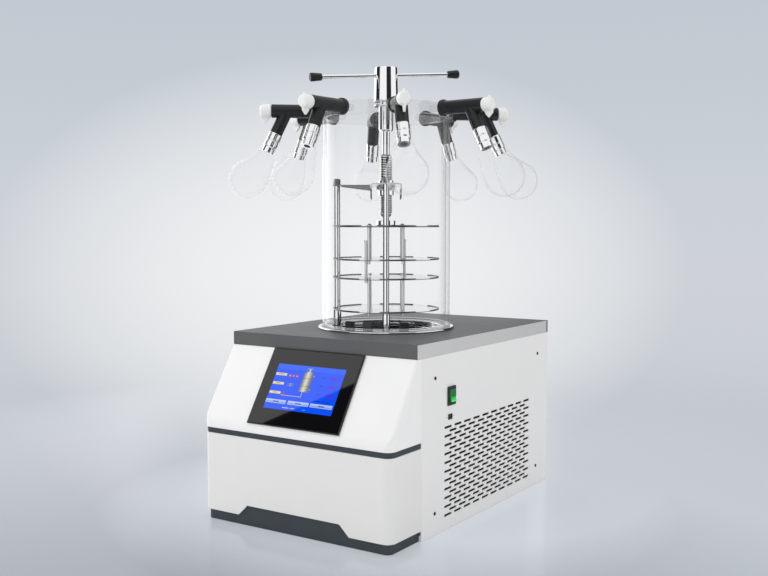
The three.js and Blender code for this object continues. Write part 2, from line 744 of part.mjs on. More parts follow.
const portMiddle = lidRadius - portReach;         // where a radial port turns down into the chamber
function manifoldLid() {
  const lip = innerRadius * Math.cos(Math.PI / largeRound) - FIT;
  const lid = turned([
    [0, lidFoot - lidLip], [lip, lidFoot - lidLip], [lip, lidFoot], [lidRadius, lidFoot],
    [lidRadius, lidTop - 1.5], [lidRadius - 1.5, lidTop], [0, lidTop]], largeRound);
  const cuts = [hole(glandRadius + FIT, lidFoot - lidLip - 1, lidTop + 1, 0, 0, midRound)];
  const across = rod(portRadius, 0, portReach + 1, 0, 0, tinyRound).rotate([0, 90, 0])
    .translate([portMiddle, 0, portHeight]);
  const down = rod(portRadius, lidFoot - lidLip - 1, portHeight, portMiddle, 0, tinyRound);
  const port = join(across, down);
  for (let i = 0; i < ports; i += 1) {
    cuts.push(port.rotate([0, 0, -90 + i * 360 / ports]));
  }
  return cut(lid, cuts);
}
add(manifold, 'manifold_lid', manifoldLid(), clear());

function spindleGland() {
  const foot = lidFoot - glandReach;
  const bore = flats(shaftRadius + FIT, midRound);
  const seat = lidTop + FIT;
  const top = seat + glandFlangeHeight;
  return turned([
    [bore, foot], [glandRadius - 3, foot], [glandRadius, foot + 4], [glandRadius, seat],
    [glandFlangeRadius, seat], [glandFlangeRadius, top], [bore, top], [bore, foot]]);
}
add(dryer, 'spindle_gland', spindleGland(), chromed());

// ---- Handle ----------------------------------------------------------------------------------------
const shaftFoot = lidTop - shaftReach;
function handleHub() {
  const body = turned([
    [0, shaftFoot], [shaftRadius - 1, shaftFoot], [shaftRadius, shaftFoot + 1], [shaftRadius, hubFoot],
    [hubNeckRadius, hubFoot], [hubNeckRadius, hubFoot + hubNeckHeight],
    [hubRadius, hubFoot + hubNeckHeight], [hubTopRadius, hubTop - 2], [hubTopRadius - 2, hubTop], [0, hubTop]]);
  const cross = rod(barRadius + FIT, -hubRadius - 2, hubRadius + 2).rotate([0, 90 - barTilt, barTurn])
    .translate([0, 0, barHeight]);
  return body.subtract(cross);
}
add(dryer, 'handle_hub', handleHub(), chromed());

const bar = new THREE.Group();
bar.position.z = barHeight;
bar.rotation.set(0, rad(-barTilt), rad(barTurn), 'ZYX');
dryer.add(bar);
const barHalf = handleSpan / 2 - knobGripLength + knobSocketDepth - FIT;
add(bar, 'handle_bar', rod(barRadius, -barHalf, barHalf).rotate([0, 90, 0]), chromed());

function handleKnob(side) {
  const foot = handleSpan / 2 - knobGripLength;
  const knob = turned([
    [barRadius + FIT, foot], [knobGripNeck, foot], [knobGripRadius, foot + knobGripLength - 3],
    [knobGripRadius - 2.5, foot + knobGripLength], [0, foot + knobGripLength],
    [0, foot + knobSocketDepth], [barRadius + FIT, foot + knobSocketDepth], [barRadius + FIT, foot]],
  smallRound);
  return knob.rotate([0, side * 90, 0]);
}
add(bar, 'handle_knob_right', handleKnob(1), blackPlastic());
add(bar, 'handle_knob_left', handleKnob(-1), blackPlastic());

// ---- Stoppering rack -------------------------------------------------------------------------------
const rack = new THREE.Group();
rack.rotation.z = rad(rackTurn);
dryer.add(rack);
const rodX = (shelfRadius - rodInset) * Math.sin(rad(rodAngle));
const rodY = (shelfRadius - rodInset) * Math.cos(rad(rodAngle));
const guideX = (shelfRadius - guideInset) * Math.sin(rad(guideAngle));
const guideY = (shelfRadius - guideInset) * Math.cos(rad(guideAngle));
const columns = [[-columnCircle, 0], [0, -columnCircle], [0, columnCircle]];
const rods = [[-rodX, -rodY], [rodX, -rodY], [rodX, rodY], [-rodX, rodY]];
const guides = [[-guideX, -guideY], [guideX, guideY]];
const baseRingTop = ledge + FIT + baseRingSheet;
const nutFoot = bridgeHeight + FIT;

function rackStand() {
  const ringOuter = ledgeRadius - 2;
  const parts = [ring(ringOuter - baseRingWidth, ringOuter, ledge + FIT, baseRingTop, shelfSides)];
  for (const [x, y] of columns) {
    parts.push(rod(columnRadius, baseRingTop - 1, bridgeHeight - shelfSheet - FIT, x, y, tinyRound));
    parts.push(rod(sleeveRadius, baseRingTop + sleeveFoot, shelf4Top - shelfSheet - FIT, x, y, tinyRound));
    parts.push(rod(studRadius, bridgeHeight - shelfSheet - 2, nutFoot + 1, x, y, tinyRound));
    parts.push(rod(columnNutRadius, nutFoot, nutFoot + columnNutHeight, x, y, 6));
  }
  const block = box(-9, 9, -columnCircle - 5, -columnCircle + 6, baseRingTop - 1, baseRingTop + 16);
  return join(...parts, ...blockAngles.map((angle) => block.rotate([0, 0, angle])));
}

// A plate with a low rim, which four wide notches interrupt. The holes are for the columns and rods.
function shelfPlate(top, cutters) {
  const disc = rod(shelfRadius, top - shelfSheet, top, 0, 0, shelfSides);
  const rim = ring(shelfRadius - shelfSheet, shelfRadius, top - 1, top + rimHeight, shelfSides);
  const notch = box(-notchHalf, notchHalf, -shelfRadius - 5, -shelfRadius + 25, top, top + 2 * rimHeight);
  return cut(join(disc, cut(rim, notchAngles.map((angle) => notch.rotate([0, 0, angle])))),
    plateHoles(columns, columnRadius + RUN, top), cutters);
}

function plateHoles(points, radius, top) {
  return points.map(([x, y]) => hole(radius, top - 2 * shelfSheet, top + 2 * rimHeight, x, y, tinyRound));
}

// Rods that stand through a plate: each runs from its foot to its head.
function headedRods(points, foot, seat, headFoot, radius = rodRadius) {
  return points.map(([x, y]) => join(
    rod(rodRadius, foot, seat, x, y, tinyRound),
    rod(radius, seat - 1, headFoot + 1, x, y, tinyRound),
    rod(rodHeadRadius, headFoot, headFoot + rodHeadHeight, x, y, tinyRound)));
}

function pressPlate() {
  const top = pressTop + bossHeight;
  const socket = flats(screwTipRadius + FIT, midRound);
  const boss = turned([
    [0, pressTop - 1], [bossRadius, pressTop - 1], [bossRadius, top - 1], [bossRadius - 1, top],
    [socket, top], [socket, top - socketDepth], [0, top - socketDepth]]);
  return join(boss, shelfPlate(pressTop, [
    ...plateHoles(rods, rodRadius + RUN, pressTop),
    ...plateHoles(guides, rodHeadRadius + RUN, pressTop)]));
}

// Hangs from the press plate by four headed rods.
function shelf2() {
  const hangers = headedRods(rods, shelf2Top - shelfSheet - rodFoot, pressTop, pressTop + FIT);
  return join(shelfPlate(shelf2Top, plateHoles(guides, rodRadius + RUN, shelf2Top)), ...hangers);
}

// Carries the two rods that guide shelf 2.
function shelf3() {
  const headFoot = shelf2Top + guideAbove - rodHeadHeight;
  const posts = headedRods(guides, shelf3Top - shelfSheet - rodFoot, headFoot, headFoot);
  return join(shelfPlate(shelf3Top, plateHoles(rods, pillarStud + FIT, shelf3Top)), ...posts);
}

// Stands on the sleeves of the columns and carries shelf 3 on four shouldered pillars.
function shelf4() {
  const pillars = headedRods(rods, shelf4Top - shelfSheet - rodFoot,
    shelf3Top - shelfSheet - FIT, shelf3Top + FIT, pillarStud);
  return join(shelfPlate(shelf4Top, []), ...pillars);
}

// A folded bridge over two columns, an arm to the third, four pointed hooks, and the fixed nut.
function spiderBracket() {
  const z = bridgeHeight;
  const w = bridgeHalfWidth;
  const end = columnCircle + bridgeEnd;
  const fold = end - 2 * bridgeEnd;
  const parts = [
    box(-w, w, -end, end, z - shelfSheet, z),
    box(-end, -w + 1, -armHalfWidth, armHalfWidth, z - shelfSheet, z),
    rod(nutRadius, z - nutDrop, z + bridgeFold, 0, 0, midRound),
  ];
  const hook = polygon([
    [-hookHalf, 1], [-hookHalf, -hookDrop / 2], [0, -hookDrop], [hookHalf / 2, -hookDrop], [hookHalf, 1]]);
  const web = polygon([[-fold, z - 4], [-w + 1, z - bridgeFold - 2], [-w + 1, z], [-fold, z]]);
  for (const x of [-w, w - shelfSheet]) {
    parts.push(box(x, x + shelfSheet, -fold, fold, z - bridgeFold, z));
    for (const y of [-hookY, hookY]) {
      parts.push(alongX(hook, x, x + shelfSheet).translate([0, y, z - bridgeFold]));
    }
  }
  for (const y of [-armHalfWidth, armHalfWidth - shelfSheet]) {
    parts.push(alongY(web, y, y + shelfSheet));
  }
  return cut(join(...parts), hole(screwRadius + FIT, z - nutDrop - 1, z + bridgeFold + 1, 0, 0, midRound),
    columns.map(([x, y]) => hole(studRadius + FIT, z - 2 * shelfSheet, z + 1, x, y, tinyRound)));
}

function pressScrew() {
  const bore = flats(shaftRadius + FIT, midRound);
  const boreFoot = shaftFoot - 2;
  const tipFoot = pressTop + bossHeight - socketDepth + FIT;
  return turned([
    [0, tipFoot], [screwTipRadius, tipFoot], [screwTipRadius, screwFoot - 6], [screwRadius, screwFoot],
    [screwRadius, screwTop], [bore, screwTop], [bore, boreFoot], [0, boreFoot]]);
}

add(rack, 'rack_stand', rackStand(), steel());
add(rack, 'shelf_4', shelf4(), steel());
add(rack, 'shelf_3', shelf3(), steel());
add(rack, 'shelf_2', shelf2(), steel());
add(rack, 'press_plate', pressPlate(), steel());
add(rack, 'spider_bracket', spiderBracket(), steel());
add(rack, 'press_screw', pressScrew(), chromed());

// ---- Valves and flasks -----------------------------------------------------------------------------
// Each is built in its own frame: +X outward from the lid's rim, +Z up, at the height of the port.
const stemFrame = (shape) => shape.rotate([0, 180 - stemTilt, 0]).translate([stemStart, 0, 0]);

function valveBody() {
  const seat = FIT + valveFlangeLength;
  const end = stemLength + adapterLength;
  const step = stemLength + adapterStep;
  const spigot = rod(portRadius - FIT, -portReach + portRadius + 3, 2, 0, 0, tinyRound);
  const barrel = turned([
    [0, FIT], [valveFlangeRadius, FIT], [valveFlangeRadius, seat], [valveRadius, seat + 1],
    [valveRadius, valveLength], [0, valveLength]], smallRound);
  const stem = rod(stemRadius, 0, stemLength);
  const adapter = turned([
    [0, stemLength - 1], [adapterRadius, stemLength - 1], [adapterRadius, step], [adapterTipRadius, step + 1],
    [adapterTipRadius, end], [0, end]], smallRound);
  const bore = rod(adapterBore, end - 30, end + 1, 0, 0, tinyRound);
  const socket = hole(knobSpindle + FIT, valveLength - knobSocket, valveLength + 1, 0, 0, tinyRound);
  return cut(join(join(spigot, barrel).rotate([0, 90, 0]), stemFrame(join(stem, adapter))),
    stemFrame(bore), socket.rotate([0, 90, 0]));
}

// White turning knob: a tapered cap with a pointer that hangs below it and a nub on top.
function valveKnob() {
  const foot = valveLength + FIT;
  const end = foot + knobLength;
  const cap = turned([
    [0, foot], [valveRadius, foot], [valveRadius, foot + 9], [valveRadius * 0.82, foot + 18],
    [valveRadius * 0.4, end], [0, end]], smallRound);
  const spindle = rod(knobSpindle, foot - knobSocket + 2, foot + 1, 0, 0, tinyRound);
  const pointer = polygon([
    [foot + 4, -6], [foot + 8, -valveRadius - 8], [foot + 14, -valveRadius - 13],
    [end - 3, -valveRadius - 6], [end - 3, -6]]);
  const nub = box(foot + 8, foot + 16, -2.5, 2.5, 6, valveRadius + 3);
  return join(join(cap, spindle).rotate([0, 90, 0]), alongY(pointer, -4, 4), nub);
}

// Pear-shaped flask: a straight turned flask whose axis is then bent outward below its neck.
const neckInner = adapterRadius + FIT;
const neckOuter = neckInner + flaskWall;
const flaskTop = stemLength + 3;
const neckEnd = flaskTop + flaskNeckLength;
const bulbMiddle = neckEnd + flaskBodyLength;

// The wall's outer or inner face, from the mouth down to the pole.
function flaskSide(neck, bulb) {
  const side = [[neck, flaskTop], [neck, neckEnd], [neck + 6, neckEnd + flaskBodyLength * 0.32]];
  for (const turn of [-35, 0, 40, 90]) {
    const angle = rad(turn);
    side.push([bulb * Math.cos(angle), bulbMiddle + bulb * Math.sin(angle)]);
  }
  side[side.length - 1][0] = 0;
  return side;
}

function flask() {
  const outside = flaskSide(neckOuter, flaskRadius);
  const inside = flaskSide(neckInner, flaskRadius - flaskWall).reverse();
  const points = [...outside, ...inside].map(([r, z]) => new THREE.Vector2(r, z));
  points.push(points[0].clone());
  const straight = new THREE.LatheGeometry(points, smallRound).rotateX(Math.PI / 2);
  const place = straight.attributes.position;
  const lean = rad(flaskBend) / flaskBodyLength;
  for (let i = 0; i < place.count; i += 1) {
    const along = place.getZ(i) - neckEnd;
    if (along > 0) {
      const bend = lean * Math.min(along, flaskBodyLength);
      const past = Math.max(along - flaskBodyLength, 0);
      const across = place.getX(i);
      place.setX(i, (Math.cos(bend) - 1) / lean - past * Math.sin(bend) + across * Math.cos(bend));
      place.setZ(i, neckEnd + Math.sin(bend) / lean + past * Math.cos(bend) + across * Math.sin(bend));
    }
  }
  return stemFrame(solid(straight));
}

const bodyShape = valveBody();
const knobShape = valveKnob();
const flaskShape = flask();
for (let i = 0; i < ports; i += 1) {
  const valve = new THREE.Group();
  const angle = rad(-90 + i * 360 / ports);
  valve.rotation.z = angle;
  valve.position.set(lidRadius * Math.cos(angle), lidRadius * Math.sin(angle), portHeight);
  manifold.add(valve);
  add(valve, `valve_body_${i + 1}`, bodyShape, blackRubber());
  add(valve, `valve_knob_${i + 1}`, knobShape, whitePlastic());
  add(valve, `flask_${i + 1}`, flaskShape, clear());
}

export default dryer;
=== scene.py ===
import math

import bmesh
import bpy
from mathutils import Matrix, Vector


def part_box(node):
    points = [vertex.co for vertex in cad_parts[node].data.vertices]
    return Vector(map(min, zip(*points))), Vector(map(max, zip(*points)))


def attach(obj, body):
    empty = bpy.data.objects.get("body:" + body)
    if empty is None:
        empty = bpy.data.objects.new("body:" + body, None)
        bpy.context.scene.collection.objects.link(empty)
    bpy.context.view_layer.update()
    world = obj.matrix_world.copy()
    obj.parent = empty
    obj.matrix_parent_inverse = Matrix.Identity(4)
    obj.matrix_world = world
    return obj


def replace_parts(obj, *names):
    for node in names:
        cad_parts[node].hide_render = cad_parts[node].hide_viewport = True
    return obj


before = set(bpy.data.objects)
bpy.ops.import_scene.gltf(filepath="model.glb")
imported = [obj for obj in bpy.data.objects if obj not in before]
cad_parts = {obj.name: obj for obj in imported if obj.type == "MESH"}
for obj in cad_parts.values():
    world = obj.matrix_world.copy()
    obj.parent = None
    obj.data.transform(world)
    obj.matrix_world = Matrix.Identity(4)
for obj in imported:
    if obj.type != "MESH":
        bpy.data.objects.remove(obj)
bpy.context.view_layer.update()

# Benchtop freeze dryer: a cabinet with a cold trap in its worktop, a clear chamber whose lid is an
# eight-port manifold, and a stoppering rack inside that the T-handle presses down. Metres, +Z up,
# front towards -Y. Sections follow the order in which the dryer is put together.


# ---- Camera ----------------------------------------------------------------------------------------
# A normal lens a little above the worktop, in front of the cabinet's right corner.
camera = bpy.data.objects.new("camera", bpy.data.cameras.new("camera"))
camera.location = (1.1724, -1.7857, 0.5925)
looking = Vector((-0.54931, 0.83312, -0.06451))
camera.rotation_euler = looking.to_track_quat("-Z", "Y").to_euler()
camera.data.lens = 46.87
camera.data.sensor_width = 36
bpy.context.collection.objects.link(camera)
bpy.context.scene.camera = camera
bpy.context.scene.view_settings.view_transform = "Standard"
bpy.context.scene.cycles.transparent_max_bounces = 24    # two flasks and the chamber are twelve faces


# ---- Studio ----------------------------------------------------------------------------------------
# A pale grey-blue floor that fades into a plain backdrop of the same tone, and soft even light. What is
# polished sees white walls, a bright strip, and tall black flags that give it its dark stripes.
class Wire:
    """A node socket. Its operators add Math nodes, and node() adds any other node."""

    def __init__(self, tree, socket=None):
        self.tree = tree
        self.socket = socket

    def node(self, kind, settings=None, sockets=None, output=0):
        made = self.tree.nodes.new(kind)
        for name, value in (settings or {}).items():
            if name == "stops":
                for place, colour in value[2:]:
                    made.color_ramp.elements.new(place)
                for element, (place, colour) in zip(made.color_ramp.elements, value):
                    element.position = place
                    element.color = (*colour, 1)
            else:
                setattr(made, name, value)
        for name, value in (sockets or {}).items():
            for one in value if isinstance(value, list) else [value]:
                if isinstance(one, Wire):
                    self.tree.links.new(one.socket, made.inputs[name])
                else:
                    made.inputs[name].default_value = one
        return Wire(self.tree, made.outputs[output] if made.outputs else None)

    def output(self, name):
        """Another output of the node behind this one."""
        return Wire(self.tree, self.socket.node.outputs[name])

    def math(self, operation, *values):
        return self.node("ShaderNodeMath", {"operation": operation}, dict(enumerate(values)))

    def clamp(self):
        return self.node("ShaderNodeMath", {"use_clamp": True}, {0: self, 1: 0})

    def mix(self, factor, first, second):
        """A colour between two others."""
        return self.node("ShaderNodeMix", {"data_type": "RGBA"}, {0: factor, 6: first, 7: second}, 2)

    def __add__(self, other):
        return self.math("ADD", self, other)

    def __sub__(self, other):
        return self.math("SUBTRACT", self, other)

    def __rsub__(self, other):
        return self.math("SUBTRACT", other, self)

    def __mul__(self, other):
        return self.math("MULTIPLY", self, other)

    def __truediv__(self, other):
        return self.math("DIVIDE", self, other)

    def __pow__(self, other):
        return self.math("POWER", self, other)

    def __gt__(self, other):
        return self.math("GREATER_THAN", self, other)

    __radd__ = __add__
    __rmul__ = __mul__


def tone(red, green, blue):
    """A colour as a screen shows it, from 0 to 255, as the linear colour that a shader takes."""
    levels = [channel / 255 for channel in (red, green, blue)]
    return (*[c / 12.92 if c < 0.04 else ((c + 0.055) / 1.055) ** 2.4 for c in levels], 1)


world = bpy.data.worlds.new("studio")
bpy.context.scene.world = world
world.use_nodes = True
world.node_tree.nodes.clear()
room = Wire(world.node_tree)
toward = room.node("ShaderNodeSeparateXYZ", sockets={0: room.node("ShaderNodeTexCoord")})
height = toward.output("Z")
BACKDROP = [                      # by the height of the line of sight, from straight down to straight up
    (0.0, (168, 174, 183)), (0.335, (177, 183, 192)), (0.365, (183, 188, 197)), (0.388, (189, 194, 202)),
    (0.412, (195, 200, 208)), (0.437, (202, 207, 213)), (0.473, (206, 210, 216)), (0.512, (204, 209, 216)),
    (0.56, (197, 204, 212)), (0.60, (193, 201, 210)), (1.0, (188, 196, 205))]
bearing = room.math("ARCTAN2", toward.output("Y"), toward.output("X"))


def turned_from(degrees):
    """How far, in radians, a line of sight turns from a bearing."""
    return room.math("PINGPONG", bearing - math.radians(degrees), math.pi)


backdrop = room.node("ShaderNodeValToRGB", {"stops": [(h, tone(*c)[:3]) for h, c in BACKDROP]},
                     {0: height / 2 + 0.5})
glow = (1 - (turned_from(125.9) / 0.34) ** 2 - ((height + 0.045) / 0.215) ** 2).clamp()
backdrop = room.mix(0.68 * glow, backdrop, (1, 1, 0.99, 1))
FLAGS = [(-143.6, 21, 1.2), (-28, 21.5, 0.5), (86, 27, 0.5)]  # bearing, half width and height of each
STRIP = (163, 25)                 # bearing and half width of the bright strip
STRIP_TOP = 0.4
STRIP_COLOUR = (1.75, 1.75, 1.75, 1)
steepness = room.math("ABSOLUTE", height)


def sector(middle, half):
    """1 within a sector of the horizon, and 0 beyond it."""
    return (1 - (turned_from(middle) - math.radians(half)) / 0.06).clamp()


def within(top):
    """1 where a line of sight is less steep than that, up or down, with a soft end."""
    return (1 - (steepness - top) / 0.08).clamp()


flags = 0
for middle, half, top in FLAGS:
    flags = flags + sector(middle, half) * within(top)
white_walls = room.mix(0.85, backdrop, (1, 1, 1, 1))
white_walls = room.mix(sector(*STRIP) * within(STRIP_TOP), white_walls, STRIP_COLOUR)
seen_in_gloss = room.mix(flags.clamp(), white_walls, (0.02, 0.021, 0.023, 1))
sight = room.node("ShaderNodeLightPath")
gloss = sight.output("Is Glossy Ray")
seen = room.mix(gloss, backdrop, seen_in_gloss)
light = room.node("ShaderNodeValToRGB", {"stops": [
    (0.0, (0.6, 0.6, 0.6)), (0.45, (0.94, 0.94, 0.94)), (0.60, (0.98, 0.98, 0.98)),
    (1.0, (0.8, 0.8, 0.8))]}, {0: height / 2 + 0.5})    # what lights the dryer, from below to above
looks = (sight.output("Is Camera Ray") + gloss + sight.output("Is Transmission Ray")).clamp()
room.node("ShaderNodeOutputWorld", sockets={0: room.node("ShaderNodeMixShader", sockets={
    0: looks,
    1: room.node("ShaderNodeBackground", sockets={"Color": light, "Strength": 1.0}),
    2: room.node("ShaderNodeBackground", sockets={"Color": seen, "Strength": 1.0})})})


class Finish(Wire):
    """A material with one Principled shader, whose sockets take numbers, colours and wires."""

    def __init__(self, name, sockets=None):
        self.material = bpy.data.materials.new(name)
        self.material.use_nodes = True
        super().__init__(self.material.node_tree)
        self.shader = self.tree.nodes["Principled BSDF"]
        self.place = self.node("ShaderNodeTexCoord", output="Object")
        self.set(sockets or {})

    def set(self, sockets):
        for name, value in sockets.items():
            if isinstance(value, Wire):
                self.tree.links.new(value.socket, self.shader.inputs[name])
            else:
                self.shader.inputs[name].default_value = value

    def noise(self, scale, detail=3, stretch=(1, 1, 1)):
        """Cloudy noise, about 0.5, with scale clouds to the metre before the stretch."""
        where = self.node("ShaderNodeMapping", sockets={"Vector": self.place, "Scale": stretch})
        return self.node("ShaderNodeTexNoise", sockets={"Vector": where, "Scale": scale, "Detail": detail})

    def mottle(self, colours, dark, light, roughness, swing, rough):
        """Colour between two tones, and roughness with a swing, each by noise of its own scale."""
        self.set({"Base Color": self.mix(self.noise(colours), dark, light),
                  "Roughness": roughness + swing * self.noise(rough)})

    def bump(self, height, distance):
        self.set({"Normal": self.node("ShaderNodeBump", sockets={
            "Height": height, "Distance": distance, "Strength": 1})})


floor_finish = Finish("floor", {"Specular IOR Level": 0.09, "Emission Strength": 0.5})
spot = floor_finish.node("ShaderNodeSeparateXYZ", sockets={0: floor_finish.place})
away = (spot.output("X") ** 2 + spot.output("Y") ** 2) ** 0.5
# The floor's tone is painted light: lighter towards the back and the right, with a painted pool of light
# near the dryer that weakens its shadow.
painted_floor_light = 0.5 + 0.35 * spot.output("X") + 0.83 * spot.output("Y")    # towards the back
painted_floor_light = (painted_floor_light + 0.6 * ((0.62 - away) / 0.3).clamp()).clamp()    # and near the dryer
floor_tone = floor_finish.mix(painted_floor_light, tone(146, 152, 161), tone(214, 220, 226))
looked_at = floor_finish.node("ShaderNodeLightPath")
BLACK = (0, 0, 0, 1)
floor_finish.set({                # half of what the camera sees is the backdrop's own tone, half is lit
    "Base Color": floor_finish.mix(
        looked_at, tone(240, 241, 243), floor_finish.mix(0.5, BLACK, floor_tone)),
    "Emission Color": floor_finish.mix(looked_at, BLACK, floor_tone),
    "Roughness": 0.12 + 0.05 * floor_finish.noise(3)})
fade = ((away - 0.45) / 1.3).clamp()
floor_finish.tree.links.new(floor_finish.node("ShaderNodeMixShader", sockets={
    0: fade,
    1: Wire(floor_finish.tree, floor_finish.shader.outputs[0]),
    2: floor_finish.node("ShaderNodeBsdfTransparent")}).socket,
    floor_finish.tree.nodes["Material Output"].inputs[0])
floor_mesh = bpy.data.meshes.new("floor")
floor_mesh.from_pydata([(-4, -4, 0), (4, -4, 0), (4, 4, 0), (-4, 4, 0)], [], [(0, 1, 2, 3)])
floor_mesh.materials.append(floor_finish.material)
floor = bpy.data.objects.new("floor", floor_mesh)
floor.location.z = -0.0005
bpy.context.collection.objects.link(floor)


def soft_box(name, centre, across, up, size, radiance, mirrored):
    """An area light that shines towards across x up, with its sides along those two directions."""
    box = bpy.data.lights.new(name, "AREA")
    box.shape = "RECTANGLE"
    box.size, box.size_y = size
    box.energy = radiance * math.pi * size[0] * size[1]
    hung = bpy.data.objects.new(name, box)
    across = Vector(across).normalized()
    back = -across.cross(Vector(up)).normalized()
    hung.matrix_world = Matrix.Translation(centre) @ Matrix(
        (across, back.cross(across), back)).transposed().to_4x4()
    hung.visible_camera = False
    hung.visible_glossy = mirrored
    bpy.context.collection.objects.link(hung)


# The display's glass mirrors the camera. Both boxes hang with an edge where that mirrored camera sees it
# along a slant, from near the glass's lower left corner to a third of the way down its right side. The
# far one is the gleam in the glass, and the near one lights the dryer.
worktop_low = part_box("worktop")[0]
cover_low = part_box("front_lower_cover")[0]
slope_top = Vector((0, worktop_low.y, worktop_low.z))
SLOPE_RISE = 0.143                # height of the sloped face, under the worktop's edge
slope_angle = math.atan2(worktop_low.y - cover_low.y, SLOPE_RISE)
slope_out = Vector((0, -math.cos(slope_angle), math.sin(slope_angle)))
slope_down = Vector((0, -math.sin(slope_angle), -math.cos(slope_angle)))
GLASS = (0.110, 0.0015, 0.1645)   # half its width, and its top and foot down the slope
mirrored = camera.location - 2 * (camera.location - slope_top).dot(slope_out) * slope_out


def in_mirror(x, down, reach):
    """What the camera sees mirrored at a spot of the glass, that far along its line of sight."""
    line = slope_top + Vector((x, 0, 0)) + down * slope_down - mirrored
    return mirrored + line.normalized() * reach


for name, reach, size, radiance, shows in (
        ("soft_box_far", 8, (1.5, 0.9), 1.2, True), ("soft_box_near", 3.4, (1.9, 1.1), 1.05, False)):
    edge_from = in_mirror(-0.7 * GLASS[0], GLASS[2], reach)
    edge_to = in_mirror(GLASS[0], 0.057, reach)
    edge = (edge_to - edge_from).normalized()
    inward = in_mirror(-GLASS[0], GLASS[1], reach) - edge_from
    inward = (inward - inward.dot(edge) * edge).normalized()
    middle = (edge_from + edge_to) / 2 + inward * size[1] / 2
    facing = 1 if edge.cross(inward).dot(slope_top - middle) > 0 else -1
    soft_box(name, middle, edge * facing, inward, size, radiance, shows)


# ---- Base frame and plinth -------------------------------------------------------------------------
# The dryer stands on four feet pressed into a galvanised pan. A slate-coloured moulded skirt, set back
# a little under the covers, closes its front and sides down to the bench.
def coat(finish, nodes):
    """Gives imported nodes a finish, where their own shape shows."""
    for node in nodes:
        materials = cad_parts[node].data.materials
        materials.clear()
        materials.append(finish.material)


galvanised = Finish("galvanised_steel", {"Metallic": 0.85, "Roughness": 0.42})
spangle = galvanised.node("ShaderNodeRGBToBW", sockets={0: galvanised.node(
    "ShaderNodeTexVoronoi", sockets={"Vector": galvanised.place, "Scale": 160}, output=1)})
galvanised.set({"Base Color": galvanised.mix(spangle, (0.46, 0.47, 0.49, 1), (0.66, 0.67, 0.68, 1))})
coat(galvanised, ["base_frame"])


class Shape:
    """A mesh drawn in millimetres as closed shells, which piece() turns into an object in metres."""

    EDGE_STEPS = 3                # flats across a rounded edge

    def __init__(self):
        self.mesh = bmesh.new()

    def loft(self, rings, closed=False, matrix=Matrix()):
        """Joins rings of points, in order. A ring of one point is a pole; open ends are capped."""
        made = [[self.mesh.verts.new(matrix @ Vector(point)) for point in ring] for ring in rings]
        for first, second in zip(made, made[1:] + made[:1] if closed else made[1:]):
            for i in range(max(len(first), len(second))):
                corners = [first[i % len(first)], first[(i + 1) % len(first)],
                           second[(i + 1) % len(second)], second[i % len(second)]]
                corners = [v for k, v in enumerate(corners) if v not in corners[:k]]
                if len(corners) > 2:
                    self.mesh.faces.new(corners)
        for end in [] if closed else [made[0], made[-1]]:
            if len(end) > 2:
                self.mesh.faces.new(end)
        return self

    def turned(self, profile, sides=48, matrix=Matrix()):
        """A turned shape: radius and height up the outside. The profile may close on itself."""
        closed = tuple(profile[0]) == tuple(profile[-1])
        rings = []
        for radius, z in profile[:-1] if closed else profile:
            turns = [i * math.tau / sides for i in range(sides if radius > 0 else 1)]
            rings.append([(radius * math.cos(a), radius * math.sin(a), z) for a in turns])
        return self.loft(rings, closed, matrix)

    def slab(self, outline, z0, z1, edge=0.4, matrix=Matrix()):
        """A flat outline, drawn anticlockwise, made thick, with its edges rounded."""
        rows = [(edge * (1 - math.sin(a)), edge * (1 - math.cos(a)))
                for a in [k * math.pi / 2 / self.EDGE_STEPS for k in range(self.EDGE_STEPS + 1)]]
        rows = [(step, z0 + rise) for step, rise in rows] + [(step, z1 - rise) for step, rise in rows[::-1]]
        return self.loft([[(x, y, z) for x, y in inset(outline, step)] for step, z in rows], matrix=matrix)

    def moved(self, matrix=Matrix()):
        """A copy of the shape, moved."""
        twin = Shape()
        twin.mesh.free()
        twin.mesh = self.mesh.copy()
        twin.mesh.transform(matrix)
        return twin

    def piece(self, name, finish, body, slot, *nodes, sharp=35):
        """The shape as an object of one finish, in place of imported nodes."""
        bmesh.ops.recalc_face_normals(self.mesh, faces=self.mesh.faces)
        self.mesh.transform(Matrix.Scale(0.001, 4))
        mesh = bpy.data.meshes.new(name)
        self.mesh.to_mesh(mesh)
        self.mesh.free()
        mesh.shade_smooth()
        mesh.set_sharp_from_angle(angle=math.radians(sharp))
        mesh.materials.append(finish.material)
        made = bpy.data.objects.new(name, mesh)
        bpy.context.collection.objects.link(made)
        even = made.modifiers.new("even_shading", "WEIGHTED_NORMAL")
        even.keep_sharp = True
        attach(made, body)
        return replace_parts(made, *nodes)


def inset(outline, distance):
    """An outline, drawn anticlockwise, moved inwards."""
    moved = []
    for i, point in enumerate(outline):
        before = (Vector(point) - Vector(outline[i - 1])).normalized()
        after = (Vector(outline[(i + 1) % len(outline)]) - Vector(point)).normalized()
        inwards = Vector((-before.y - after.y, before.x + after.x)) / (1 + before.dot(after))
        moved.append(Vector(point) + distance * inwards)
    return moved


def millimetres(node):
    """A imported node's lowest and highest corners, in millimetres."""
    low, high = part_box(node)
    return low * 1000, high * 1000


# The front covers share one outline: square at the seams, round at the two front corners. A station
# names a place on it: a side and how far back, a side and an angle of its corner, or an x on the front.
HALF_WIDTH = millimetres("worktop")[1].x
COVER_FRONT = millimetres("front_lower_cover")[0].y
SEAM = millimetres("front_lower_cover")[1].y
CORNER = 18
SOFT_EDGE = 5                     # radius along the edges of the slope
NOTCH = (133, 111, 21)            # half widths at its foot and top, and its height
STATIONS = [(-1, "side", 1), (-1, "side", 0.5), *[(-1, "corner", 9 * i) for i in range(11)],
            *[(1, "front", x) for x in (-133, -111, 0, 111, 133)],
            *[(1, "corner", 90 - 9 * i) for i in range(11)], (1, "side", 0.5), (1, "side", 1)]


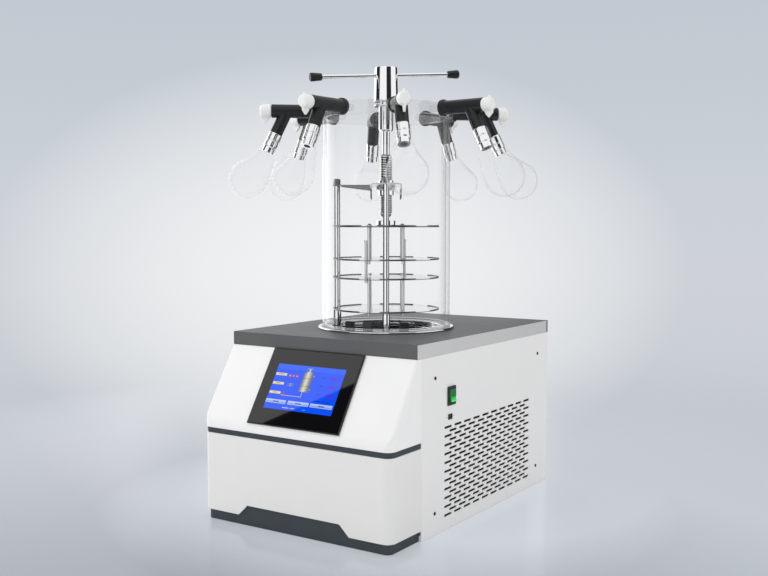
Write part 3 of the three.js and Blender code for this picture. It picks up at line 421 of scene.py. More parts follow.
def plan_point(station, step, front=COVER_FRONT):
    """Where the outline, set in by a step, passes a station. The flat front may be cut back."""
    side, kind, value = station
    if kind == "front":
        return value, front + step
    radius = CORNER - step
    soft = min(SOFT_EDGE, radius)
    centre = Vector((HALF_WIDTH - CORNER, COVER_FRONT + CORNER))
    sine = min(max((centre.y - front - step - soft) / (radius - soft), 0), 1)
    turn = math.asin(sine)
    heel = centre + (radius - soft) * Vector((math.cos(turn), -sine))
    if sine == 0:
        heel.y = front + step + soft
    if kind == "side":
        x, y = HALF_WIDTH - step, heel.y if sine == 0 else centre.y
        return side * x, y + (SEAM - y) * value
    angle = math.radians(value)
    middle, reach = (heel, soft) if angle > turn or sine == 0 else (centre, radius)
    return side * (middle.x + reach * math.cos(angle)), middle.y - reach * math.sin(angle)


def front_cover(rows_at):
    """A moulded shell along the outline. rows_at(station) gives rows of step, height and front."""
    return Shape().loft([[(*plan_point(station, step, front), z) for step, z, front in rows_at(station)]
                         for station in STATIONS])


COVER_WALL = 3                    # thickness of the moulded skirt and covers


def wall(foot, top, step=0, edge=1.0):
    """Rows of an upright wall with its two outer edges rounded."""
    round_off = [(edge, 0), (0.3 * edge, 0.3 * edge), (0, edge)]
    rows = [(step + dy, foot + dz) for dy, dz in round_off]
    rows += [(step + dy, top - dz) for dy, dz in reversed(round_off)]
    rows += [(step + COVER_WALL, top), (step + COVER_WALL, foot)]
    return [(*row, COVER_FRONT) for row in rows]


slate = Finish("slate_trim", {"Specular IOR Level": 0.35})
slate.mottle(35, tone(56, 63, 70), tone(62, 69, 76), 0.5, 0.12, 90)
slate.bump(slate.noise(2600, 2), 0.00004)
plinth_top = millimetres("plinth")[1].z
front_cover(lambda station: wall(0, plinth_top, 5)).piece(
    "plinth_skirt", slate, "cabinet", "slate_trim", "plinth")


# ---- Front covers ----------------------------------------------------------------------------------
# Two moulded plastic covers with a slate band let in between them. The lower one has a wide notch over
# the plinth; the upper one leans back to the worktop and carries the display.
def moulded(name, dark, light, roughness):
    """Satin moulded plastic with a fine spark-eroded grain."""
    finish = Finish(name, {"Specular IOR Level": 0.4})
    cloud = finish.noise(14)
    finish.set({"Base Color": finish.mix(cloud, dark, light), "Roughness": roughness + 0.08 * cloud})
    finish.bump(finish.noise(1800, 2), 0.00002)
    return finish


pale_cover = moulded("pale_cover", tone(231, 231, 230), tone(235, 235, 234), 0.36)
white_cover = moulded("white_cover", tone(243, 243, 244), tone(247, 247, 247), 0.28)
lower_low, lower_high = millimetres("front_lower_cover")
upper_low, upper_high = millimetres("front_upper_cover")
band_low, band_high = millimetres("accent_band")


def lower_rows(station):
    foot = lower_low.z
    if station[1] == "front":
        foot_half, top_half, rise = NOTCH
        foot += rise * min(max((foot_half - abs(station[2])) / (foot_half - top_half), 0), 1)
    return wall(foot, lower_high.z)


front_cover(lower_rows).piece("lower_cover", pale_cover, "cabinet", "pale_cover", "front_lower_cover")
front_cover(lambda station: wall(band_low.z, band_high.z, 1.2, edge=0.5)).piece(
    "colour_band", slate, "cabinet", "slate_trim", "accent_band")

BLEND = 9                         # half the length of the soft bend, along each face
slope_foot = (slope_top.z - SLOPE_RISE) * 1000
lean = math.tan(slope_angle)


def slope_rows(thick):
    """Step, height and front up the upper cover's outer or inner face."""
    bend = slope_foot - thick * (1 / math.cos(slope_angle) - 1) / lean
    rows = []
    for k in range(7):
        t = k / 6
        along = BLEND * t * t
        rows.append((thick, bend - BLEND * (1 - t) ** 2 + along * math.cos(slope_angle),
                     COVER_FRONT + along * math.sin(slope_angle)))
    for z in [bend + rise for rise in (12, 18, 24, 30, 36, 42, 50, 60, 90)] + [upper_high.z - 1]:
        rows.append((thick, z, COVER_FRONT + (z - bend) * lean))
    return rows


def upper_rows(station):
    foot, top = upper_low.z, upper_high.z
    outer = slope_rows(0)
    inner = slope_rows(COVER_WALL)
    top_front = COVER_FRONT + (top - slope_foot) * lean
    return [(1, foot, COVER_FRONT), (0.3, foot + 0.3, COVER_FRONT), (0, foot + 1, COVER_FRONT), *outer,
            (0.5, top, top_front), (COVER_WALL, top, top_front), *reversed(inner[:-1]),
            (COVER_WALL, foot, COVER_FRONT)]


def settled(solid, *others):
    """A helper object's final mesh as a shape. The helper objects are cleared away."""
    result = bpy.data.meshes.new_from_object(solid.evaluated_get(bpy.context.evaluated_depsgraph_get()))
    shape = Shape()
    shape.mesh.from_mesh(result)
    for mesh in [result, solid.data, *[other.data for other in others]]:
        bpy.data.meshes.remove(mesh)
    return shape


def carve(shape, tool, operation="DIFFERENCE"):
    """A shape less another, or both joined, as closed solids."""
    solids = []
    for each in (shape, tool):
        bmesh.ops.recalc_face_normals(each.mesh, faces=each.mesh.faces)
        mesh = bpy.data.meshes.new("solid")
        each.mesh.to_mesh(mesh)
        each.mesh.free()
        solids.append(bpy.data.objects.new("solid", mesh))
        bpy.context.collection.objects.link(solids[-1])
    modifier = solids[0].modifiers.new("carve", "BOOLEAN")
    modifier.operation = operation
    modifier.solver = "EXACT"
    modifier.object = solids[1]
    return settled(*solids)


def rectangle(x0, x1, y0, y1):
    return [(x0, y0), (x1, y0), (x1, y1), (x0, y1)]


# The slope's own frame: X along it, Y up it, Z out of it.
on_slope = Matrix.Translation(slope_top * 1000) @ Matrix.Rotation(math.pi / 2 - slope_angle, 4, "X")
MODULE = (84, 33, 133)            # the display module's half width, and its top and foot down the slope
opening = Shape().slab(rectangle(-MODULE[0] - 0.3, MODULE[0] + 0.3, -MODULE[2] - 0.3, -MODULE[1] + 0.3),
                       -6, 6, 0, on_slope)
carve(front_cover(upper_rows), opening).piece(
    "upper_cover", white_cover, "cabinet", "white_cover", "front_upper_cover")


# ---- Worktop ---------------------------------------------------------------------------------------
# A dark coated sheet folded down on all sides, with the mouth of the cold trap cut through it. A light
# metal strip trims each side, and the fold at the front catches a thin bright line.
worktop_coat = Finish("worktop", {"Specular IOR Level": 0.05})
worktop_coat.mottle(9, tone(97, 98, 100), tone(103, 104, 106), 0.34, 0.1, 40)
worktop_coat.bump(worktop_coat.noise(1400, 2), 0.00002)
top_low, top_high = millimetres("worktop")
TRIM = 1.2
TRIM_STOP = 7                     # the strips end this far short of the back
TRAP_HOLE = 116.8                 # radius of the hole that the well hangs in
trim_end = top_high.y - TRIM_STOP
sheet = [(top_low.x + TRIM, top_low.y), (top_high.x - TRIM, top_low.y),
         (top_high.x - TRIM, trim_end), (top_high.x, trim_end),
         (top_high.x, top_high.y), (top_low.x, top_high.y),
         (top_low.x, trim_end), (top_low.x + TRIM, trim_end)]
tray = Shape().slab(sheet, top_low.z, top_high.z, 0.9)
hollow = Shape().slab(rectangle(top_low.x + 2, top_high.x - 2, top_low.y + 2, top_high.y - 2),
                      top_low.z - 1, top_high.z - 3, 0)
mouth = Shape().turned([(0, top_low.z - 5), (TRAP_HOLE, top_low.z - 5),
                        (TRAP_HOLE, top_high.z + 5), (0, top_high.z + 5)], 72)
carve(carve(tray, hollow), mouth).piece("worktop_sheet", worktop_coat, "cabinet", "worktop", "worktop")
trim_metal = Finish("trim_metal", {"Metallic": 0.35, "Roughness": 0.38})
grain = trim_metal.noise(20, 3, (1, 0.2, 1))
trim_metal.set({"Base Color": trim_metal.mix(grain, tone(216, 216, 217), tone(224, 224, 225))})
trims = Shape()
for side in (-1, 1):
    x = sorted((side * top_high.x, side * (top_high.x - TRIM + 0.05)))
    trims.slab(rectangle(*x, top_low.y + 0.9, trim_end - 0.1), top_low.z, top_high.z - 0.7, 0.3)
trims.piece("worktop_trims", trim_metal, "cabinet", "side_panel", "worktop")


# ---- Side panels -----------------------------------------------------------------------------------
# Powder-coated steel sheets, folded in at the front and the top and held by black oval-headed screws.
# The right one is punched with staggered cooling slots, and has a data socket under the switch.
def powder_coat(name, dark, light):
    """Off-white powder coat: satin, with the faint orange peel of a baked finish."""
    finish = Finish(name, {"Specular IOR Level": 0.4})
    finish.mottle(7, dark, light, 0.4, 0.1, 25)
    finish.bump(finish.noise(700, 3), 0.00003)
    return finish


side_coat = powder_coat("side_panel", tone(235, 235, 236), tone(240, 240, 240))
panel_low, panel_high = millimetres("right_side_panel")
SHEET = 2
RETURN = 12                       # width of the folded returns
Y_Z_PLANE = Matrix(((0, 0, 1, 0), (1, 0, 0, 0), (0, 1, 0, 0), (0, 0, 0, 1)))


def side_sheet(side):
    """A panel without its holes, on the side of +X (1) or -X (-1)."""
    lie = Matrix.Scale(side, 4, (1, 0, 0)) @ Y_Z_PLANE
    outer, inner = panel_high.x, panel_high.x - SHEET
    front, back, top = panel_low.y, panel_high.y, panel_high.z
    sheet = Shape().slab(rectangle(front, back, 0, top), inner, outer, 0.5, lie)
    front_return = Shape().slab(rectangle(front + 0.2, front + SHEET, plinth_top, top - 0.6),
                                outer - RETURN - SHEET, outer - 0.8, 0.3, lie)
    top_return = Shape().slab(rectangle(front + 1, back - SHEET - 0.3, top - SHEET, top - 0.2),
                              outer - RETURN - SHEET, outer - 0.8, 0.3, lie)
    return carve(carve(sheet, front_return, "UNION"), top_return, "UNION")


class Pattern(Wire):
    """A Geometry Nodes tree with named inputs, which ends by realizing instances and setting a material."""

    def __init__(self, name, inputs):
        tree = bpy.data.node_groups.new(name, "GeometryNodeTree")
        super().__init__(tree)
        tree.interface.new_socket("Geometry", in_out="OUTPUT", socket_type="NodeSocketGeometry")
        for label, kind in {"Geometry": "Geometry", "Material": "Material", **inputs}.items():
            tree.interface.new_socket(label, in_out="INPUT", socket_type="NodeSocket" + kind)
        self.given = self.node("NodeGroupInput")

    def __getitem__(self, label):
        return self.given.output(label)

    def end(self, geometry):
        whole = self.node("GeometryNodeRealizeInstances", sockets={0: geometry})
        painted = self.node("GeometryNodeSetMaterial", sockets={
            "Geometry": whole, "Material": self["Material"]})
        self.node("NodeGroupOutput", sockets={0: painted})

    def run(self, shape, finish, values):
        """The shape after this tree, with its inputs set by name."""
        bmesh.ops.recalc_face_normals(shape.mesh, faces=shape.mesh.faces)
        mesh = bpy.data.meshes.new("blank")
        shape.mesh.to_mesh(mesh)
        shape.mesh.free()
        blank = bpy.data.objects.new("blank", mesh)
        bpy.context.collection.objects.link(blank)
        modifier = blank.modifiers.new("pattern", "NODES")
        modifier.node_group = self.tree
        given = {"Material": finish.material, **values}
        for item in self.tree.interface.items_tree:
            if item.in_out == "INPUT" and item.name in given:
                modifier[item.identifier] = given[item.name]
        return settled(blank)


# Rows of round-ended slots, every other row moved half a pitch and one slot shorter if asked.
slots = Pattern("punched_slots", {
    "Rows": "Int", "In a row": "Int", "Pitch": "Float", "Row pitch": "Float", "Stagger": "Float",
    "Length": "Float", "Width": "Float", "First slot": "Vector", "Turn": "Vector"})
across = (slots["In a row"] - 1) * slots["Pitch"]
upward = (slots["Rows"] - 1) * slots["Row pitch"]
grid = slots.node("GeometryNodeMeshGrid", sockets={
    "Size X": across, "Size Y": upward, "Vertices X": slots["In a row"], "Vertices Y": slots["Rows"]})
spot_of = slots.node("ShaderNodeSeparateXYZ", sockets={0: slots.node("GeometryNodeInputPosition")})
row = slots.math("ROUND", (spot_of.output("Y") + upward / 2) / slots["Row pitch"])
odd = slots.math("MODULO", row, 2) * slots["Stagger"]
shifted = slots.node("GeometryNodeSetPosition", sockets={"Geometry": grid, "Offset": slots.node(
    "ShaderNodeCombineXYZ", sockets={"X": across / 2 + odd * slots["Pitch"] / 2, "Y": upward / 2})})
place_now = slots.node("ShaderNodeSeparateXYZ", sockets={0: slots.node("GeometryNodeInputPosition")})
kept = slots.node("GeometryNodeDeleteGeometry", {"mode": "ALL", "domain": "POINT"}, {
    0: shifted, "Selection": place_now.output("X") > across + 0.1})
slot_shape = slots.node("GeometryNodeCurvePrimitiveQuadrilateral", sockets={
    "Width": slots["Length"], "Height": slots["Width"]})
slot_shape = slots.node("GeometryNodeFilletCurve", {"mode": "POLY"}, {
    "Curve": slot_shape, "Count": 3, "Radius": slots["Width"] * 0.49})
slot_face = slots.node("GeometryNodeFillCurve", {"mode": "NGONS"}, {0: slot_shape})
punch = slots.node("GeometryNodeExtrudeMesh", {"mode": "FACES"}, {
    "Mesh": slot_face, "Offset Scale": 12, "Individual": False})
back_face = slots.node("GeometryNodeFlipFaces", sockets={0: slot_face})
punch = slots.node("GeometryNodeMergeByDistance", sockets={
    0: slots.node("GeometryNodeJoinGeometry", sockets={0: [punch, back_face]}), "Distance": 0.001})
punches = slots.node("GeometryNodeRealizeInstances", sockets={0: slots.node(
    "GeometryNodeInstanceOnPoints", sockets={"Points": kept, "Instance": punch})})
punches = slots.node("GeometryNodeTransform", sockets={
    "Geometry": punches, "Translation": slots["First slot"], "Rotation": slots["Turn"]})
slots.end(slots.node("GeometryNodeMeshBoolean", {"operation": "DIFFERENCE", "solver": "EXACT"}, {
    "Mesh 1": slots["Geometry"], "Mesh 2": punches}))

SLOT = (29.5, 5.0)                # length and width
switch_low, switch_high = millimetres("switch_bezel")
switch_middle = (switch_low + switch_high) / 2
right_sheet = carve(side_sheet(1), Shape().slab(
    rectangle(switch_low.y + 1.7, switch_high.y - 1.7, switch_low.z + 1.7, switch_high.z - 1.7),
    panel_high.x - 9, panel_high.x + 9, 0, Y_Z_PLANE))
slots.run(right_sheet, side_coat, {
    "Rows": 21, "In a row": 10, "Pitch": 38.7, "Row pitch": 8.6, "Stagger": 1.0,
    "Length": SLOT[0], "Width": SLOT[1], "First slot": (panel_high.x - 6, -136 + SLOT[0] / 2, 28),
    "Turn": (math.pi / 2, 0, math.pi / 2)}).piece(
        "right_panel", side_coat, "cabinet", "side_panel", "right_side_panel")

port_low, port_high = millimetres("vacuum_port")
port_y, port_z = (port_low.y + port_high.y) / 2, (port_low.z + port_high.z) / 2
to_left = Matrix.Translation((-panel_high.x, port_y, port_z)) @ Matrix.Rotation(-math.pi / 2, 4, "Y")
carve(side_sheet(-1), Shape().turned([(0, -9), (13.3, -9), (13.3, 9), (0, 9)], 48, to_left)).piece(
    "left_panel", side_coat, "cabinet", "side_panel", "left_side_panel")

# Screws: a domed head with a cross recess at each point, turned along the point's "axis".
screws = Pattern("cross_head_screws", {"Radius": "Float", "Rise": "Float"})
head = screws.node("GeometryNodeMeshCone", {"fill_type": "NGON"}, {
    "Vertices": 20, "Radius Top": screws["Radius"] * 0.72, "Radius Bottom": screws["Radius"],
    "Depth": screws["Rise"]})
bars = [screws.node("GeometryNodeMeshCube", sockets={"Size": screws.node("ShaderNodeCombineXYZ", sockets={
    "X": screws["Radius"] * a, "Y": screws["Radius"] * b, "Z": screws["Rise"]})})
    for a, b in ((1.1, 0.22), (0.22, 1.1))]
cross = screws.node("GeometryNodeTransform", sockets={
    "Geometry": screws.node("GeometryNodeMeshBoolean", {"operation": "UNION", "solver": "EXACT"}, {
        "Mesh 2": bars}),
    "Translation": screws.node("ShaderNodeCombineXYZ", sockets={"Z": screws["Rise"] * 0.9})})
head = screws.node("GeometryNodeMeshBoolean", {"operation": "DIFFERENCE", "solver": "EXACT"}, {
    "Mesh 1": head, "Mesh 2": cross})
screws.end(screws.node("GeometryNodeInstanceOnPoints", sockets={
    "Points": screws["Geometry"], "Instance": head, "Rotation": screws.node(
        "FunctionNodeAlignRotationToVector", {"axis": "Z"}, {"Vector": screws.node(
            "GeometryNodeInputNamedAttribute", {"data_type": "FLOAT_VECTOR"}, {"Name": "axis"})})}))


def screw_points(places):
    """Loose points, in millimetres, that remember the way their screws face."""
    points = Shape()
    axis = points.mesh.verts.layers.float_vector.new("axis")
    for place, way in places:
        points.mesh.verts.new(place)[axis] = way
    return points


enamel = Finish("black_enamel", {"Specular IOR Level": 0.5})
enamel.mottle(60, tone(22, 22, 24), tone(34, 34, 36), 0.3, 0.15, 300)
COVER_SCREW = {"Radius": 3.6, "Rise": 1.3}
SOCKET_SCREW = {"Radius": 1.3, "Rise": 0.7}
corners = [(-172, 301), (-173, 42), (278, 43), (283, 299)]
screws.run(screw_points([
    ((side * (panel_high.x + 0.4), y, z), (side, 0, 0)) for side in (-1, 1) for y, z in corners]),
    enamel, COVER_SCREW).piece("panel_screws", enamel, "cabinet", "black_enamel")

# The data socket: a black rim with a tongue in its well, between two small screws.
socket_black = Finish("black_plastic", {"Specular IOR Level": 0.45})
socket_black.mottle(50, tone(28, 29, 31), tone(36, 37, 39), 0.36, 0.12, 200)
socket_black.bump(socket_black.noise(2400, 2), 0.00003)
DATA = (-122.4, -106.8, 213.6, 224.4)
rim = Shape().slab(rectangle(*DATA), panel_high.x + 0.05, panel_high.x + 1.3, 0.5, Y_Z_PLANE)
well = Shape().slab(inset(rectangle(*DATA), 1.8), panel_high.x + 0.4, panel_high.x + 4, 0, Y_Z_PLANE)
carve(rim, well).slab(
    inset(rectangle(*DATA), 4), panel_high.x + 0.3, panel_high.x + 1.1, 0.2, Y_Z_PLANE).piece(
        "data_socket", socket_black, "cabinet", "black_plastic")
screws.run(screw_points([((panel_high.x + 0.3, y, 219), (1, 0, 0)) for y in (-127.5, -101.7)]),
           enamel, SOCKET_SCREW).piece("socket_screws", galvanised, "cabinet", "galvanised_steel")


# ---- Back panel and services -----------------------------------------------------------------------
# The back is one coated sheet with a grille for the warm air and a standard mains inlet. A flanged
# steel tube for the vacuum pump's hose comes out of the left side.
rear_low, rear_high = millimetres("rear_panel")
inlet_low, inlet_high = millimetres("power_inlet")
X_Z_PLANE = Matrix(((1, 0, 0, 0), (0, 0, -1, 0), (0, 1, 0, 0), (0, 0, 0, 1)))
rear_sheet = Shape().slab(
    rectangle(rear_low.x, rear_high.x, 0, rear_high.z), -rear_high.y, -rear_low.y, 0.5, X_Z_PLANE)
inlet_middle = (inlet_low + inlet_high) / 2
inlet_hole = Shape().slab(
    rectangle(inlet_middle.x - 13.8, inlet_middle.x + 13.8, inlet_middle.z - 10.3, inlet_middle.z + 10.3),
    -rear_high.y - 9, -rear_low.y + 9, 0, X_Z_PLANE)
slots.run(carve(rear_sheet, inlet_hole), side_coat, {
    "Rows": 12, "In a row": 1, "Pitch": 1.0, "Row pitch": 14.0, "Stagger": 0.0,
    "Length": 140.0, "Width": 4.0, "First slot": (110, rear_high.y + 6, 62),
    "Turn": (math.pi / 2, 0, 0)}).piece(
        "back_panel", side_coat, "cabinet", "side_panel", "rear_panel")
back_screws = [(x, z) for x in (-212, 212) for z in (30, 170, 320)] + [(-70, 330), (70, 330)]
screws.run(screw_points([((x, rear_high.y + 0.4, z), (0, 1, 0)) for x, z in back_screws]),
           enamel, COVER_SCREW).piece("back_screws", enamel, "cabinet", "black_enamel")

# The inlet's face is a rectangle with its two lower corners cut; its well holds three flat pins.
half_x, half_z = (inlet_high.x - inlet_low.x) / 2, (inlet_high.z - inlet_low.z) / 2
lip_face = [(inlet_middle.x + x, inlet_middle.z + z)
            for x, z in rectangle(-half_x, half_x, -half_z, half_z)]
well_face = [(inlet_middle.x + x, inlet_middle.z + z) for x, z in (
    (-7.5, -8), (7.5, -8), (11.5, -4), (11.5, 8), (-11.5, 8), (-11.5, -4))]
out = inlet_high.y
inlet = Shape().slab(lip_face, -out, -out + 1.7, 0.6, X_Z_PLANE)
inlet = carve(inlet, Shape().slab(inset(lip_face, 3), -out + 1, -inlet_low.y, 0.3, X_Z_PLANE), "UNION")
carve(inlet, Shape().slab(well_face, -out - 5, -out + 20, 0, X_Z_PLANE)).piece(
    "mains_inlet", socket_black, "cabinet", "black_plastic", "power_inlet")
pins = Shape()
for i in (-1, 0, 1):
    x, z = inlet_middle.x + 7 * i, inlet_middle.z + (2 if i == 0 else -2)
    pins.slab(rectangle(x - 1, x + 1, z - 2, z + 2), -out + 6, -out + 21, 0.3, X_Z_PLANE)
pins.piece("inlet_pins", galvanised, "cabinet", "galvanised_steel", "power_inlet")


def rounded(points, radius, steps=3):
    """A line or, if it ends where it starts, a loop, with its corners rounded."""
    loop = tuple(points[0]) == tuple(points[-1])
    line = [Vector(point) for point in (points[:-1] if loop else points)]
    soft = []
    for i, corner in enumerate(line):
        if not loop and i in (0, len(line) - 1):
            soft.append(corner)
            continue
        before, after = line[i - 1] - corner, line[(i + 1) % len(line)] - corner
        cut = min(radius, before.length / 2.05, after.length / 2.05)
        start, end = corner + cut * before.normalized(), corner + cut * after.normalized()
        for k in range(steps + 1):
            t = k / steps
            soft.append(start.lerp(corner, t).lerp(corner.lerp(end, t), t))
    return soft + [soft[0]] if loop else soft


polished = Finish("polished_steel", {"Metallic": 1, "Base Color": (0.93, 0.93, 0.94, 1)})
polished.set({"Roughness": 0.035 + 0.03 * polished.noise(300)})
vacuum_profile = [
    (11, -22), (13, -22), (13, 0.3), (20, 0.3), (20, 4), (13, 5), (13, 28), (20, 30.6), (20, 34),
    (14, 34), (14, 32.6), (11, 32.6), (11, -22)]
Shape().turned(rounded(vacuum_profile, 0.6), 64, to_left).piece(
    "vacuum_tube", polished, "cabinet", "polished_steel", "vacuum_port")


# ---- Power switch ----------------------------------------------------------------------------------
# A snap-in rocker switch: a black bezel round a translucent green rocker, tipped so that its lower end
# stands out. That outer end is painted a bright, glowing green as painted light, and the rest a darker
# green as painted shade.
bezel_out, bezel_in = switch_high.x, switch_low.x
face = rectangle(switch_low.y, switch_high.y, switch_low.z, switch_high.z)
bezel = Shape().slab(face, panel_high.x + 0.3, bezel_out, 0.9, Y_Z_PLANE)
bezel = carve(bezel, Shape().slab(inset(face, 2), bezel_in, panel_high.x + 1, 0, Y_Z_PLANE), "UNION")
carve(bezel, Shape().slab(inset(face, 5), bezel_in + 2, bezel_out + 5, 0, Y_Z_PLANE)).piece(
    "switch_frame", socket_black, "cabinet", "black_plastic", "switch_bezel")
rocker_low, rocker_high = millimetres("switch_rocker")
pivot = Matrix.Translation((panel_high.x, switch_middle.y, switch_middle.z)) @ Matrix.Rotation(
    -math.radians(8), 4, "Y")
half_y = (rocker_high.y - rocker_low.y) / 2
end = 12.4
side_view = rounded([(-6, -end / 2), (0, -end), (6.5, -end), (4.2, 0), (6.5, end), (0, end), (-6, end / 2),
                     (-6, -end / 2)], 1.2)[:-1]
green = Finish("green_rocker", {"Specular IOR Level": 0.6, "Roughness": 0.16, "Emission Strength": 0.35})
# Painted light and shade: bright and glowing beyond this depth, darker green within it.
lit = ((green.node("ShaderNodeSeparateXYZ", sockets={0: green.place}).output("X") - 0.2285) / 0.003).clamp()
green.set({"Base Color": green.mix(lit, tone(20, 118, 58), tone(70, 215, 110)),
           "Emission Color": green.mix(lit, tone(0, 40, 16), tone(60, 220, 90))})
Shape().slab(side_view, -half_y, half_y, 0.5, pivot @ X_Z_PLANE).piece(
    "rocker", green, "power_rocker", "green_rocker", "switch_rocker")


# ---- Touch panel and display -----------------------------------------------------------------------
# A black bezel stands on the slope, with a cover glass let into it and a colour display behind. The
# picture is plain fields of colour: three labels, a chamber, a pipe, readings and three buttons.
PANEL = [1000 * size for size in GLASS]
LOW, HIGH = 0.3, 4.3              # above the slope
Shape().slab(rectangle(-PANEL[0], PANEL[0], -PANEL[2], -PANEL[1]), LOW, HIGH - 0.5, 0.7, on_slope).piece(
    "panel_frame", socket_black, "cabinet", "black_plastic", "touch_panel")
glass = Finish("panel_glass", {"Specular IOR Level": 0.55, "Roughness": 0.02})
glass.set({"Base Color": glass.mix(glass.noise(40), tone(10, 10, 12), tone(15, 15, 17))})
Shape().slab(rectangle(-PANEL[0] + 1.5, PANEL[0] - 1.5, -PANEL[2] + 1.5, -PANEL[1] - 1.5),
             LOW + 1, HIGH - 0.1, 0.7, on_slope).piece(
                 "cover_glass", glass, "cabinet", "panel_glass", "touch_panel")

picture = Shape()
hue = picture.mesh.verts.layers.float_color.new("picture_colour")


def tile(left, right, top, foot, colour, layer=1):
    """A field of colour on the display, by millimetres along and down the slope."""
    known = len(picture.mesh.verts)
    face = rectangle(left, right, -foot, -top)
    picture.slab(face, HIGH - 0.1, HIGH - 0.09 + 0.02 * layer, 0, on_slope)
    for vertex in list(picture.mesh.verts)[known:]:
        vertex[hue] = tone(*colour)


tile(-83, 80, 35, 130, (14, 84, 255), 0)
tile(-83, 80, 35, 46, (36, 98, 255), 0.3)
CREAM, SHADE, VIOLET, PIPE = (236, 226, 184), (112, 112, 120), (104, 30, 214), (176, 176, 150)
for top, mark in ((54, 15), (73.2, 12), (92.8, 10)):
    tile(-82, -54, top, top + 6.4, SHADE, 1)
    tile(-81.4, -54.6, top + 0.4, top + 5.4, CREAM, 2)
    tile(-68 - mark / 2, -68 + mark / 2, top + 2.2, top + 3.6, (120, 116, 100), 3)
for i in range(3):
    tile(-49 + 8.5 * i, -43 + 8.5 * i, 55.5, 61, (190, 60, 90) if i != 1 else (120, 90, 150), 1)
    tile(-47.5 + 8.5 * i, -44.5 + 8.5 * i, 57, 59.6, (240, 170, 170), 2)
for i in range(3):
    tile(-45 + 5.5 * i, -41.5 + 5.5 * i, 74.5, 80, (196, 190, 120) if i == 1 else (120, 140, 190), 1)
    tile(-44.2 + 5.5 * i, -42.3 + 5.5 * i, 76, 78.4, (60, 70, 120), 2)
for field in ((-50, -46.5, 93, 98.4, (196, 60, 80), 2), (-52, -49.6, 99, 100.6, (205, 190, 120), 2),
              (-50, -3, 99.2, 100.8, PIPE, 1), (-4.6, -3, 89, 99.2, PIPE, 1)):
    tile(*field)
for i, level in enumerate((118, 158, 196, 218, 200, 168, 134, 104)):
    tile(-14 + 2.9 * i, -11 + 2.9 * i, 50, 89, (level, level, level - 6), 2)
    tile(-11.5 + 2.25 * i, -9.2 + 2.25 * i, 47, 50, (level, level, level), 2)
for field in ((-14, 9.2, 61, 61.8, (96, 96, 100), 3), (-14, 9.2, 77, 77.8, (96, 96, 100), 3),
              (-4.5, -0.5, 41, 47, (190, 194, 198), 2), (-9.5, 4.5, 39.6, 41.2, (150, 158, 168), 2),
              (9.2, 12.6, 54, 57, (150, 150, 150), 2), (9.2, 12.6, 82, 85, (150, 150, 150), 2)):
    tile(*field)
for top in (53.6, 70.6, 87.6):
    tile(51, 72.5, top, top + 7, (40, 74, 240), 1)
    tile(52.5, 56, top + 1.6, top + 5.4, VIOLET, 2)
    tile(57.5, 63.5, top + 1.6, top + 5.4, VIOLET, 2)
    tile(65, 71, top + 2.6, top + 5.4, VIOLET, 2)
    tile(31, 39, top + 2.2, top + 4, (20, 58, 190), 1)
for left, right in ((-82.7, -33.2), (-28.8, 22.4), (25.2, 77.6)):
    tile(left, right, 110.2, 118.8, (34, 60, 150), 1)
    tile(left, right - 0.8, 110.2, 117.8, (206, 222, 255), 2)
    tile(left + 0.9, right - 1.6, 111, 114.2, (176, 202, 252), 3)
    tile(left + 0.9, right - 1.6, 114.2, 117, (128, 166, 246), 3)
    tile((left + right) / 2 - 7, (left + right) / 2 + 7, 113.2, 115.2, (52, 74, 140), 4)
for field in ((28, 70, 104, 106, (22, 60, 200)), (-38, -22, 124.4, 125.8, (206, 220, 250)),
              (-19, -8, 124.4, 125.8, (190, 208, 250)), (10, 18, 124.6, 126, (60, 200, 190))):
    tile(*field)
screen = Finish("screen", {"Specular IOR Level": 0.55, "Roughness": 0.02, "Emission Strength": 0.82})
drawn = screen.node("ShaderNodeAttribute", {"attribute_name": "picture_colour"})
screen.set({"Base Color": screen.mix(0.9, drawn, BLACK), "Emission Color": drawn})
picture.piece("display_picture", screen, "cabinet", "screen")
module_shell = Finish("display_module", {"Metallic": 0.7, "Roughness": 0.4})
module_shell.set({"Base Color": module_shell.mix(
    module_shell.noise(80), (0.3, 0.3, 0.31, 1), (0.42, 0.42, 0.43, 1))})
coat(module_shell, ["display_module"])


# ---- Cold trap and refrigeration -------------------------------------------------------------------
# A deep-drawn steel well hangs in the worktop by its polished flange. A copper coil wound on it, in a
# foam jacket, is fed by a black compressor and by a finned condenser with its fan.
trap_low, trap_high = millimetres("cold_trap_well")
trap_steel = Finish("trap_steel", {"Metallic": 1, "Base Color": (0.78, 0.78, 0.79, 1)})
trap_steel.set({"Roughness": 0.07 + 0.05 * trap_steel.noise(200)})
FLANGE = trap_high.x
LEDGE = trap_high.z - 9.3
MOUTH = 115
WELL = 96
under = top_high.z + 0.3
Shape().turned(rounded([
    (0, trap_low.z), (WELL + 1.5, trap_low.z), (WELL + 1.5, LEDGE - 1.5), (MOUTH + 1.5, LEDGE - 1.5),
    (MOUTH + 1.5, under), (FLANGE, under), (FLANGE, trap_high.z - 0.8), (FLANGE - 7, trap_high.z),
    (MOUTH, trap_high.z), (MOUTH, LEDGE), (WELL, LEDGE), (WELL, trap_low.z + 1.5), (0, trap_low.z + 1.5)],
    2, 4), 128).piece("trap_well", trap_steel, "cabinet", "brushed_steel", "cold_trap_well")
copper = Finish("copper", {"Metallic": 1})
copper.mottle(45, (0.42, 0.18, 0.09, 1), (0.7, 0.34, 0.2, 1), 0.25, 0.25, 70)
coat(copper, ["evaporator_coil"])
foam = Finish("black_foam", {"Specular IOR Level": 0.2, "Roughness": 0.95})
foam.set({"Base Color": foam.mix(foam.noise(500, 2), (0.008, 0.008, 0.009, 1), (0.03, 0.03, 0.032, 1))})
foam.bump(foam.noise(900, 2), 0.0004)
coat(foam, ["trap_insulation"])
coat(enamel, ["compressor"])
fins = Finish("fin_aluminium", {"Metallic": 0.9, "Roughness": 0.5})
